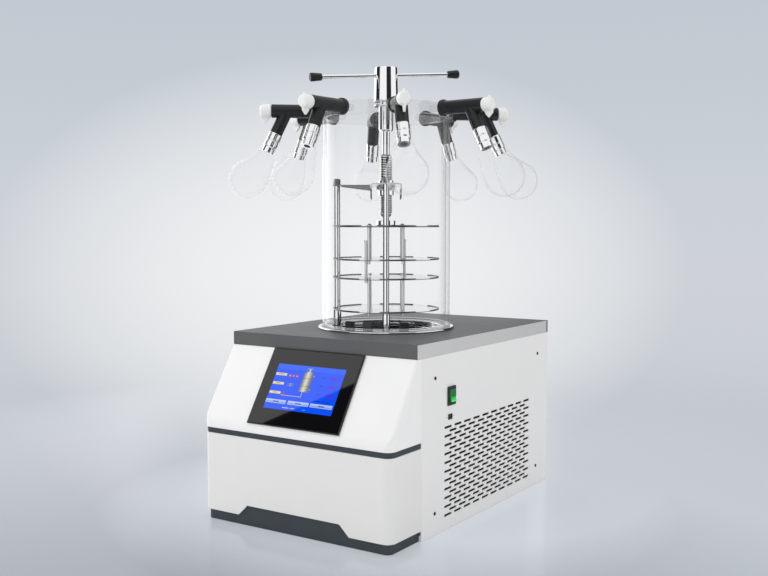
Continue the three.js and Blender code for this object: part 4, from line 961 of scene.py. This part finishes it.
strip = fins.node("ShaderNodeRGBToBW", sockets={0: fins.node(
    "ShaderNodeTexWave", {"bands_direction": "Y"},
    {"Vector": fins.place, "Scale": 120, "Distortion": 0.0})})
fins.set({"Base Color": fins.mix(strip, (0.05, 0.05, 0.052, 1), (0.3, 0.3, 0.31, 1))})
coat(fins, ["condenser"])
coat(socket_black, ["fan_rotor"])
panel_inside = panel_high.x - SHEET
Shape().slab(rectangle(-146, 262, 19, 209), panel_inside - 1.6, panel_inside - 0.2, 0.2, Y_Z_PLANE).piece(
    "dust_filter", foam, "cabinet", "black_foam")


# ---- Gasket, chamber and manifold lid --------------------------------------------------------------
# A clear acrylic tube stands on a flat gasket. Its lid is a thick clear disc, drilled from the rim with
# eight ports, with a chromed gland in the middle for the handle's shaft.
def clear_finish(name, thin, edge, power, metallic=0.7, tube=False):
    """A clear wall: thin seen square on, and it mirrors more the more it is seen edge on."""
    finish = Finish(name, {"Roughness": 0.03, "Metallic": metallic})
    rim = finish.node("ShaderNodeLayerWeight", sockets={"Blend": 0.5}, output="Facing") ** power
    if tube:                      # the normal turns to the eye, so this weakens the tube's far wall
        place = finish.node("ShaderNodeSeparateXYZ", sockets={0: finish.place})
        faces = finish.node("ShaderNodeSeparateXYZ", sockets={0: finish.node(
            "ShaderNodeNewGeometry", output="Normal")})
        nearer = place.output("X") * faces.output("X") + place.output("Y") * faces.output("Y")
        rim = rim * (0.25 + 0.75 * (nearer > 0))
    haze = thin + 0.006 * finish.noise(30)
    light_path = finish.node("ShaderNodeLightPath")
    veil = (haze + edge * rim).clamp() * (1 - light_path.output("Is Shadow Ray"))
    surface = finish.node("ShaderNodeMixShader", sockets={
        0: veil, 1: finish.node("ShaderNodeBsdfTransparent"),
        2: Wire(finish.tree, finish.shader.outputs[0])})
    finish.tree.links.new(surface.socket, finish.tree.nodes["Material Output"].inputs[0])
    return finish


gasket_low, gasket_high = millimetres("base_gasket")
rubber = Finish("black_rubber", {"Specular IOR Level": 0.4})
rubber.mottle(60, tone(24, 25, 26), tone(32, 33, 34), 0.34, 0.1, 150)
rubber.bump(rubber.noise(1500, 2), 0.00004)
silicone = clear_finish("clear_silicone", 0.3, 0.3, 2, 0)
silicone.set({"Base Color": (0.5, 0.51, 0.52, 1)})
GASKET = (126, 138)               # inner and outer radius
Shape().turned(rounded([
    (GASKET[0], gasket_low.z), (GASKET[1], gasket_low.z), (GASKET[1], gasket_high.z),
    (GASKET[0], gasket_high.z), (GASKET[0], gasket_low.z)], 1), 96).piece(
    "foot_gasket", silicone, "cabinet", "clear_silicone", "base_gasket")

tube_low, tube_high = millimetres("chamber_cylinder")
acrylic = clear_finish("clear_acrylic", 0.008, 0.8, 4, tube=True)
acrylic.set({"Base Color": (0.9, 0.91, 0.92, 1)})
OUTER, WALL = tube_high.x, 8
Shape().turned(rounded([
    (OUTER - WALL, tube_low.z), (OUTER, tube_low.z), (OUTER, tube_high.z), (OUTER - WALL, tube_high.z),
    (OUTER - WALL, tube_low.z)], 0.8), 160).piece(
        "chamber_tube", acrylic, "cabinet", "clear_acrylic", "chamber_cylinder")

lid_low, lid_high = millimetres("manifold_lid")
PORTS = 8
MANIFOLD_TURN = math.radians(-4)
LID = 142
SPIGOT = 127.2                    # radius of the step that drops into the tube
PORT_BORE = 7.3
PORT_HEIGHT = lid_high.z - 12
GLAND = 15.5


def port_turn(i):
    """The way port i faces, as a rotation about the chamber's axis."""
    return Matrix.Rotation(MANIFOLD_TURN + math.radians(-90 + 360 / PORTS * i), 4, "Z")


lid = Shape().turned(rounded([
    (GLAND + 0.3, lid_low.z), (SPIGOT, lid_low.z), (SPIGOT, lid_low.z + 4), (LID, lid_low.z + 4),
    (LID, lid_high.z), (GLAND + 0.3, lid_high.z), (GLAND + 0.3, lid_low.z)], 1.2), 144)
drill = Shape()
for i in range(PORTS):
    lie = port_turn(i) @ Matrix.Translation((0, 0, PORT_HEIGHT)) @ Matrix.Rotation(math.pi / 2, 4, "Y")
    drill.turned([(0, LID - 27), (PORT_BORE, LID - 27), (PORT_BORE, LID + 4), (0, LID + 4)], 32, lie)
acrylic_lid = clear_finish("clear_lid", 0.1, 0.16, 3, 0)
acrylic_lid.set({"Base Color": (0.42, 0.44, 0.45, 1)})
carve(lid, drill).piece("lid_disc", acrylic_lid, "cabinet", "clear_acrylic", "manifold_lid", sharp=25)

gland_low, gland_high = millimetres("spindle_gland")
Shape().turned(rounded([
    (8.1, gland_low.z), (12, gland_low.z), (GLAND, gland_low.z + 4), (GLAND, lid_high.z + 0.3),
    (26, lid_high.z + 0.3), (26, gland_high.z), (8.1, gland_high.z), (8.1, gland_low.z)], 1.2), 64).piece(
        "gland", polished, "cabinet", "polished_steel", "spindle_gland")


# ---- T-handle --------------------------------------------------------------------------------------
# A chromed hub turned from one bar with its shaft, a chromed cross bar through it, and a black rubber
# grip pushed on each end. It turns in the gland and works the screw.
hub_low, hub_high = millimetres("handle_hub")
HUB, HUB_TOP, SHAFT = 25.7, 23.6, 7.8    # radii of its foot, its top and its shaft
BAR, BAR_HOLE = 4, 4.3            # radii of the cross bar and of the holes that it fits
HUB_NECK = 6                      # height of the thin neck that it stands on
hub_foot = gland_high.z + 0.3
chrome = Finish("chrome", {"Metallic": 1, "Base Color": (0.95, 0.95, 0.955, 1)})
chrome.set({"Roughness": 0.02 + 0.02 * chrome.noise(250)})
bar_low, bar_high = millimetres("handle_bar")
bar_height = (bar_low.z + bar_high.z) / 2
BAR_TURN = math.radians(53.4)
BAR_TILT = math.radians(3.84)     # the loose bar stands a little off level
across_hub = Matrix.Translation((0, 0, bar_height)) @ Matrix.Rotation(BAR_TURN, 4, "Z") @ Matrix.Rotation(
    math.pi / 2 - BAR_TILT, 4, "Y")
hub = Shape().turned(rounded([
    (0, hub_low.z), (SHAFT - 1, hub_low.z), (SHAFT, hub_low.z + 1), (SHAFT, hub_foot), (11.5, hub_foot),
    (11.5, hub_foot + HUB_NECK), (HUB, hub_foot + HUB_NECK), (HUB_TOP, hub_high.z),
    (0, hub_high.z)], 1.6, 4), 96)
carve(hub, Shape().turned([(0, -30), (BAR_HOLE, -30), (BAR_HOLE, 30), (0, 30)], 32, across_hub)).piece(
    "hub", chrome, "handle", "polished_steel", "handle_hub")
SPAN = 167.2                      # from the axis to the end of each grip
GRIP = 25.5
SOCKET = 17                       # depth of the bar in the grip
bar_end = SPAN - GRIP + SOCKET - 0.3
Shape().turned(rounded([
    (0, -bar_end), (BAR, -bar_end), (BAR, bar_end), (0, bar_end)], 1), 40, across_hub).piece(
        "cross_bar", chrome, "handle", "polished_steel", "handle_bar")
for side, node in ((1, "handle_knob_right"), (-1, "handle_knob_left")):
    foot = SPAN - GRIP
    Shape().turned(rounded([
        (0, foot + SOCKET), (BAR_HOLE, foot + SOCKET), (BAR_HOLE, foot), (7.4, foot), (8.2, foot + 9),
        (9.3, foot + 22), (8.2, SPAN), (0, SPAN)], 2.2, 4), 40, across_hub @ Matrix.Rotation(
            0 if side > 0 else math.pi, 4, "X")).piece(
                node.replace("handle_knob", "grip"), rubber, "handle", "black_plastic", node)


# ---- Stoppering rack -------------------------------------------------------------------------------
# A ring carries three polished columns, which hold up trays with notched rims and, on top, a folded
# bracket with a nut. The screw in it pushes down the press plate and the tray that hangs from it.
RACK = Matrix.Rotation(math.radians(33.4), 4, "Z")
LOWEST, THIRD, SECOND, PRESS = 410.5, 478, 517, 586.5    # heights of the plates' upper faces
BRIDGE = 674                      # height of the bracket's upper face
PLATE = 113
RING = 98                         # inner radius of the ring underneath
COLUMN, SLEEVE, STUD, ROD = 6.2, 8.2, 4, 3    # radii of the columns and of the thin rods
COLUMNS = [(-104, 0), (0, -104), (0, 104)]
RODS = [(x, y) for x in (-34.94, 34.94) for y in (-91.99, 91.99)]
GUIDES = [(-40.95, -80.03), (40.95, 80.03)]


def stood(shape, radius, z0, z1, places, edge=0.5, sides=24):
    """Round bars standing on the rack's plan, with their ends' edges rounded."""
    for x, y in places:
        shape.turned(rounded([(0, z0), (radius, z0), (radius, z1), (0, z1)], edge, 2), sides,
                     RACK @ Matrix.Translation((x, y, 0)))
    return shape


def painted_dark_reflection(finish, start=0.2):
    """1 where a polished bar turns away from the eye, where its colour is painted dark: a painted dark
    reflection. It follows the view, and an export loses it.
    """
    facing = finish.node("ShaderNodeLayerWeight", sockets={"Blend": 0.5}, output="Facing")
    return ((facing - start) / 0.16).clamp()


# The columns' colour is painted near black towards their outline: a painted dark reflection.
column_steel = Finish("column_steel", {"Metallic": 1})
column_steel.set({
    "Base Color": column_steel.mix(
        painted_dark_reflection(column_steel), (0.93, 0.93, 0.935, 1), (0.09, 0.09, 0.095, 1)),
    "Roughness": 0.05 + 0.03 * column_steel.noise(120)})
stand_foot = millimetres("rack_stand")[0].z
stand = Shape().turned(rounded([
    (RING, stand_foot), (PLATE, stand_foot), (PLATE, stand_foot + 3), (RING, stand_foot + 3),
    (RING, stand_foot)], 0.7), 96)
stood(stand, COLUMN, stand_foot + 2, BRIDGE - 2.3, COLUMNS, 0.8, 32)
stood(stand, SLEEVE, stand_foot + 16, LOWEST - 2.3, COLUMNS, 1.2, 32)
stood(stand, STUD, BRIDGE - 3, BRIDGE + 13.5, COLUMNS, 1.2)
stand.piece("rack_columns", column_steel, "cabinet", "brushed_steel", "rack_stand")
nuts = Shape()
for x, y in COLUMNS:
    nuts.turned([(STUD, BRIDGE + 0.3), (7.3, BRIDGE + 0.3), (7.3, BRIDGE + 10.6), (6, BRIDGE + 12.2),
                 (STUD, BRIDGE + 12.2), (STUD, BRIDGE + 0.3)], 6, RACK @ Matrix.Translation((x, y, 0)))
blocks = Shape()
for degrees in (-46, -20.8, 20.8):
    blocks.slab(rectangle(-9, 9, -109, -98), stand_foot + 2.6, stand_foot + 23.5, 1.6,
                RACK @ Matrix.Rotation(math.radians(degrees), 4, "Z"))
blocks.piece("base_blocks", rubber, "cabinet", "black_rubber", "rack_stand")

tray_steel = Finish("tray_steel", {"Metallic": 1})
tray_steel.mottle(18, (0.78, 0.79, 0.8, 1), (0.86, 0.87, 0.88, 1), 0.2, 0.06, 220)
# A dark copy of the rack's steel, painted dark as shade and dark reflection. It goes on the tray rims, the
# press plate, the column nuts and the bracket's hooks.
rim_steel = Finish("rim_steel", {"Metallic": 0.9})
rim_steel.mottle(30, (0.13, 0.134, 0.14, 1), (0.19, 0.195, 0.2, 1), 0.32, 0.1, 200)
nuts.piece("column_nuts", rim_steel, "cabinet", "brushed_steel", "rack_stand")
rod_steel = Finish("rod_steel", {"Metallic": 1})
drawn_steel = rod_steel.mix(
    rod_steel.noise(40, 3, (1, 1, 0.2)), (0.82, 0.82, 0.82, 1), (0.92, 0.92, 0.92, 1))
# The rods' colour is painted dark towards their outline: a painted dark reflection.
rod_steel.set({
    "Base Color": rod_steel.mix(painted_dark_reflection(rod_steel, 0.3), drawn_steel, (0.22, 0.22, 0.225, 1)),
    "Roughness": 0.3 + 0.08 * rod_steel.noise(160)})
RIM = 2.2                         # height of a tray's rim above the tray
NOTCH_TURNS = (-18, 44, 136, 198)
notches = Shape()
for degrees in NOTCH_TURNS:
    notches.slab(rectangle(-22, 22, -PLATE - 5, -PLATE + 25), 0.1, 2 * RIM, 0,
                 RACK @ Matrix.Rotation(math.radians(degrees), 4, "Z"))


def tray(name, node, body, top, holes, finish=tray_steel, thick=1.2):
    """A round tray whose low rim four wide notches interrupt. holes: (places, radius) for the rods."""
    drills = Shape()
    for places, radius in [(COLUMNS, 7), *holes]:
        stood(drills, radius, -5, 9, places, 0)
    sheet = Shape().turned(rounded([(0, -thick), (PLATE, -thick), (PLATE, 0), (0, 0)], 0.4, 2), 120)
    ring = Shape().turned(rounded([
        (PLATE - 1.6, -thick), (PLATE + 0.2, -thick), (PLATE + 0.2, RIM), (PLATE - 1.6, RIM),
        (PLATE - 1.6, -thick)], 0.5, 2), 120)
    for part, shape, cut, look in (
            ("sheet", sheet, drills, finish), ("rim", ring, notches.moved(), rim_steel)):
        carve(shape, cut).moved(Matrix.Translation((0, 0, top))).piece(
            f"{name}_{part}", look, body, "shelf_steel", node, sharp=30)


tray("lowest_tray", "shelf_4", "cabinet", LOWEST, [])
tray("third_tray", "shelf_3", "cabinet", THIRD, [(RODS, 2.6)])
tray("hanging_tray", "shelf_2", "hanging_shelf", SECOND, [(GUIDES, 3.8)])
# The press plate takes the steel painted dark as shade.
tray("press_plate", "press_plate", "press", PRESS, [(RODS, 3.8), (GUIDES, 5.8)], rim_steel, 2)

# Rods: four pillars under the third tray, four hangers of the hanging tray, and two guides for it.
pillars = stood(stood(stood(Shape(), ROD, LOWEST - 8, THIRD - 2.3, RODS), 2.2, THIRD - 3, THIRD + 1, RODS),
                3.6, THIRD + 0.3, THIRD + 4, RODS)
pillars.piece("tray_pillars", rod_steel, "cabinet", "brushed_steel", "shelf_4")
guides = stood(Shape(), ROD, THIRD - 8, SECOND + 37, GUIDES)
stood(guides, 4, SECOND + 37, SECOND + 40.5, GUIDES, 0.8).piece(
    "tray_guides", rod_steel, "cabinet", "brushed_steel", "shelf_3")
stood(stood(Shape(), ROD, SECOND - 8, PRESS + 1, RODS), 4.4, PRESS + 0.3, PRESS + 3, RODS, 0.8).piece(
    "tray_hangers", rod_steel, "hanging_shelf", "brushed_steel", "shelf_2")
stood(Shape(), 1.8, PRESS + 2, PRESS + 5.3, RODS, 0.5, 16).piece(
    "hanger_tips", enamel, "hanging_shelf", "black_enamel", "shelf_2")
BOSS = 12                         # height of the press plate's boss
Shape().turned(rounded([
    (0, PRESS - 0.5), (20, PRESS - 0.5), (20, PRESS + BOSS), (5.8, PRESS + BOSS), (5.8, PRESS + 5),
    (0, PRESS + 5)], 1), 64).piece("press_boss", chrome, "press", "polished_steel", "press_plate")

# The bracket is folded from one sheet: a bridge over two columns with its edges turned down into four
# pointed hooks, and a ribbed arm to the third column. The nut is let into its middle.
bracket_steel = Finish("bracket_steel", {"Metallic": 0.9})
bracket_steel.mottle(25, (0.6, 0.6, 0.61, 1), (0.7, 0.7, 0.71, 1), 0.16, 0.1, 120)
FOLD = BRIDGE - 10                # foot of the turned-down edges
HALF = 32.5
END = PLATE                       # the bridge and the arm reach this far
bend = rounded([(HALF, FOLD), (HALF, BRIDGE), (-HALF, BRIDGE), (-HALF, FOLD)], 4.5, 4) + rounded(
    [(2 - HALF, FOLD), (2 - HALF, BRIDGE - 2), (HALF - 2, BRIDGE - 2), (HALF - 2, FOLD)], 3, 4)
bridge = Shape().slab(bend, -95, 95, 0.2, RACK @ X_Z_PLANE)
tab = Shape().slab(rounded([*rectangle(6 - HALF, HALF - 6, -END, END), (6 - HALF, -END)], 6, 4)[:-1],
                   BRIDGE - 2, BRIDGE, 0.3, RACK)
bridge = carve(bridge, tab, "UNION")
arm = Shape()
arm.loft([[(x, y, z) for y, z in
           rounded([(14, foot), (14, BRIDGE), (-14, BRIDGE), (-14, foot)], 2.5, 3)
           + rounded([(-12, foot), (-12, BRIDGE - 2), (12, BRIDGE - 2), (12, foot)], 1.5, 3)]
          for x, foot in ((-95, BRIDGE - 4), (-80, BRIDGE - 5.9), (-HALF - 0.1, BRIDGE - 12))],
         matrix=RACK)
arm_tab = Shape().slab(rounded([*rectangle(-END, -90, -14, 14), (-END, -14)], 5, 4)[:-1],
                       BRIDGE - 2, BRIDGE, 0.3, RACK)
arm = carve(arm, arm_tab, "UNION")
# The arm is a darker copy of the bracket's steel, painted dark as shade and dark reflection.
arm_steel = Finish("arm_steel", {"Metallic": 0.9})
arm_steel.mottle(30, (0.2, 0.2, 0.205, 1), (0.27, 0.27, 0.275, 1), 0.28, 0.1, 140)
carve(arm, stood(Shape(), 4.3, BRIDGE - 5, BRIDGE + 5, COLUMNS[:1], 0)).piece(
    "bracket_arm", arm_steel, "cabinet", "polished_steel", "spider_bracket", sharp=30)
drills = stood(Shape(), 4.3, BRIDGE - 5, BRIDGE + 5, COLUMNS[1:], 0)
stood(drills, 15.9, BRIDGE - 5, BRIDGE + 5, [(0, 0)], 0, 48)
carve(bridge, drills).piece(
    "bracket_sheet", bracket_steel, "cabinet", "polished_steel", "spider_bracket", sharp=30)
hooks = Shape()
for x in (-HALF, HALF - 2):
    for y in (-58, 58):
        hooks.slab([(y - 7, FOLD + 1), (y - 7, FOLD - 10), (y, FOLD - 20), (y + 3.5, FOLD - 20),
                    (y + 7, FOLD + 1)], x + 0.1, x + 1.9, 0.3, RACK @ Y_Z_PLANE)
# The hooks take the steel painted dark as shade.
hooks.piece("bracket_hooks", rim_steel, "cabinet", "polished_steel", "spider_bracket")
SCREW = 13.6                      # crest radius of the thread
Shape().turned(rounded([
    (SCREW + 0.3, BRIDGE - 22), (SCREW + 3, BRIDGE - 22), (SCREW + 3, BRIDGE - 12),
    (SCREW + 6.5, BRIDGE - 11), (SCREW + 6.5, BRIDGE - 2.2), (SCREW + 2.2, BRIDGE - 2.2),
    (SCREW + 2.2, BRIDGE + 10), (SCREW + 0.3, BRIDGE + 10),
    (SCREW + 0.3, BRIDGE - 22)], 0.8), 24, RACK).piece(
        "bracket_nut", chrome, "cabinet", "polished_steel", "spider_bracket", sharp=50)

# The screw: a chromed bar with a trapezoid thread from its neck to its top, and a plain tip.
thread = Pattern("screw_thread", {
    "Root": "Float", "Crest": "Float", "Pitch": "Float", "Length": "Float", "Foot": "Float"})
helix = thread.node("GeometryNodeSetCurveNormal", {"mode": "Z_UP"}, {0: thread.node(
    "GeometryNodeCurveSpiral", sockets={
        "Resolution": 28, "Rotations": thread["Length"] / thread["Pitch"], "Start Radius": thread["Root"],
        "End Radius": thread["Root"], "Height": thread["Length"]})})
ridge = thread.node("GeometryNodeCurvePrimitiveQuadrilateral", {"mode": "TRAPEZOID"}, {
    "Height": (thread["Crest"] - thread["Root"]) * 2, "Bottom Width": thread["Pitch"] * 0.12,
    "Top Width": thread["Pitch"] * 1.6, "Offset": 0.0})
ridge = thread.node("GeometryNodeTransform", sockets={0: ridge, "Rotation": (0, 0, -math.pi / 2)})
spiral = thread.node("GeometryNodeCurveToMesh", sockets={
    "Curve": helix, "Profile Curve": ridge, "Fill Caps": True})
spiral = thread.node("GeometryNodeTransform", sockets={0: spiral, "Translation": thread.node(
    "ShaderNodeCombineXYZ", sockets={"Z": thread["Foot"]})})
thread.end(thread.node("GeometryNodeJoinGeometry", sockets={0: [spiral, thread["Geometry"]]}))
screw_low, screw_high = millimetres("press_screw")
threaded = Finish("threaded_chrome", {"Metallic": 1, "Roughness": 0.12})
# The thread's grooves are painted dark as shade, and its crests are left bright.
spot = threaded.node("ShaderNodeSeparateXYZ", sockets={0: threaded.place})
reach = (spot.output("X") ** 2 + spot.output("Y") ** 2) ** 0.5
crest = ((reach - 0.0118) / 0.0012).clamp()      # 0 down in the grooves, where the colour is painted dark as shade
threaded.set({"Base Color": threaded.mix(crest, (0.2, 0.2, 0.205, 1), (0.95, 0.95, 0.955, 1))})
core = Shape().turned(rounded([
    (0, screw_low.z), (5.5, screw_low.z), (5.5, screw_low.z + 12), (11.4, screw_low.z + 18),
    (11.4, screw_high.z), (8.1, screw_high.z), (8.1, screw_high.z - 53), (0, screw_high.z - 53)],
    0.6, 2), 56)
thread.run(core, threaded, {
    "Root": 11.3, "Crest": SCREW, "Pitch": 5.0, "Length": screw_high.z - screw_low.z - 23.5,
    "Foot": screw_low.z + 21}).piece(
        "threaded_screw", threaded, "screw", "polished_steel", "press_screw", sharp=30)


# ---- Valves and flasks -----------------------------------------------------------------------------
# Eight rubber valves are pushed into the lid's ports. Each has a white turning plug in its outer end
# and a slanted stem, whose chromed ground adapter carries a thin pear-shaped glass flask.
VALVE, BARREL = 14, 99            # radius and length of the barrel
STEM = 52
along_barrel = Matrix.Rotation(math.pi / 2, 4, "Y")
along_stem = Matrix.Translation((67.5, 0, 0)) @ Matrix.Rotation(math.radians(154.5), 4, "Y")
barrel = Shape().turned(rounded([
    (0, -6), (7, -6), (7, 0.3), (17, 0.3), (17, 8), (VALVE + 0.4, 9.6), (VALVE, 14), (VALVE, BARREL),
    (5.3, BARREL), (5.3, BARREL - 24), (0, BARREL - 24)], 1.3), 56, along_barrel)
stem = Shape().turned(rounded([(0, 0), (13, 0), (13, STEM), (0, STEM)], 0.8), 48, along_stem)
valve_rubber = carve(barrel, stem, "UNION")
valve_rubber.turned(rounded([
    (0, STEM - 1), (6.2, STEM - 1), (6.2, STEM + 34), (0, STEM + 34)], 0.6), 24, along_stem)

adapter = Shape().turned(rounded([
    (6.6, STEM + 0.2), (13.4, STEM + 0.2), (13.9, 54), (13.9, 67.6), (12.9, 68.4), (12.9, 69.8),
    (13.9, 70.6), (13.9, 82), (12.4, 83.6), (12.4, 95), (6.6, 95),
    (6.6, STEM + 0.2)], 0.4, 2), 48, along_stem)
channels = Shape()
for k in range(4):
    channels.slab(rectangle(12.6, 16, -0.7, 0.7), 54.5 + 1.5 * (k % 2), 80 - 9.5 * (k % 2), 0,
                  along_stem @ Matrix.Rotation(math.radians(35 + 90 * k), 4, "Z"))
adapter = carve(adapter, channels)

plug_foot = BARREL + 0.3
plug = Shape().turned(rounded([
    (0, plug_foot - 24), (5, plug_foot - 24), (5, plug_foot), (VALVE, plug_foot), (13.7, plug_foot + 12),
    (11.6, plug_foot + 24), (0, plug_foot + 24)], 5.5, 6), 48, along_barrel)
plug.slab(rounded([(plug_foot + x, z) for x, z in (
    (2, -8), (5, -18), (13, -26.6), (22, -17), (22, -8), (2, -8))], 2, 3)[:-1], -2.4, 2.4, 1.2, X_Z_PLANE)
plug.slab(rounded([(plug_foot + x, z) for x, z in (
    (7, 6), (19, 6), (17.5, 17.4), (10, 17.4), (7, 6))], 3, 3)[:-1], -2.2, 2.2, 1.2, X_Z_PLANE)

NECK, BULB, THICK = 16.3, 41, 1.6
MIDDLE = 164                      # of the bulb, down the stem's axis
TANGENT = math.radians(20.3)      # where the neck's cone meets the bulb, above its middle


def flask_side(shrink):
    """The flask's wall, from its mouth down to its pole, set in by a thickness."""
    bulb = BULB - shrink
    start = Vector((NECK - shrink, 88))
    shoulder = Vector((bulb * math.cos(TANGENT), MIDDLE - bulb * math.sin(TANGENT)))
    side = [(NECK - shrink, 55), (NECK - shrink, 70),
            *[tuple(start.lerp(shoulder, k / 12)) for k in range(13)]]
    turns = [-TANGENT + (math.pi / 2 + TANGENT) * k / 14 for k in range(1, 14)]
    return side + [(bulb * math.cos(a), MIDDLE + bulb * math.sin(a)) for a in turns] + [(0, MIDDLE + bulb)]


# Below its neck the flask's axis leans outwards, along an arc and then straight on.
LEAN_FROM, LEAN_OVER = 97, 67
lean_rate = math.radians(20) / LEAN_OVER
flask = Shape().turned([*flask_side(0), *reversed(flask_side(THICK)), flask_side(0)[0]], 56)
for vertex in flask.mesh.verts:
    x, y, z = vertex.co
    if z > LEAN_FROM:
        bent = lean_rate * min(z - LEAN_FROM, LEAN_OVER)
        past = max(z - LEAN_FROM - LEAN_OVER, 0)
        vertex.co = ((math.cos(bent) - 1) / lean_rate - past * math.sin(bent) + x * math.cos(bent), y,
                     LEAN_FROM + math.sin(bent) / lean_rate + past * math.cos(bent) + x * math.sin(bent))
flask = flask.moved(along_stem)

white_plug = moulded("white_knob", tone(236, 237, 237), tone(241, 241, 241), 0.3)
clear_glass = clear_finish("clear_glass", 0.008, 0.45, 3.6, 0.25)
# Paler where the glass faces up: painted light, standing in for the bright sky's reflection. The normal
# turns to the eye, so on walls met from behind this follows the view.
faces_up = clear_glass.node("ShaderNodeSeparateXYZ", sockets={0: clear_glass.node(
    "ShaderNodeNewGeometry", output="Normal")}).output("Z")
clear_glass.set({"Base Color": clear_glass.mix(
    (faces_up + 0.4).clamp(), (0.62, 0.63, 0.64, 1), (1, 1, 1, 1))})
for i in range(PORTS):
    port = port_turn(i) @ Matrix.Translation((LID, 0, PORT_HEIGHT))
    for shape, name, finish, body, slot, node in (
            (valve_rubber, "valve", rubber, "cabinet", "black_rubber", "valve_body"),
            (adapter, "adapter", chrome, "cabinet", "polished_steel", "valve_body"),
            (plug, "plug", white_plug, f"knob_{i + 1}", "white_knob", "valve_knob"),
            (flask, "glass_flask", clear_glass, "cabinet", "clear_glass", "flask")):
        shape.moved(port).piece(f"{name}_{i + 1}", finish, body, slot, f"{node}_{i + 1}")
for shape in (valve_rubber, adapter, plug, flask, notches):
    shape.mesh.free()
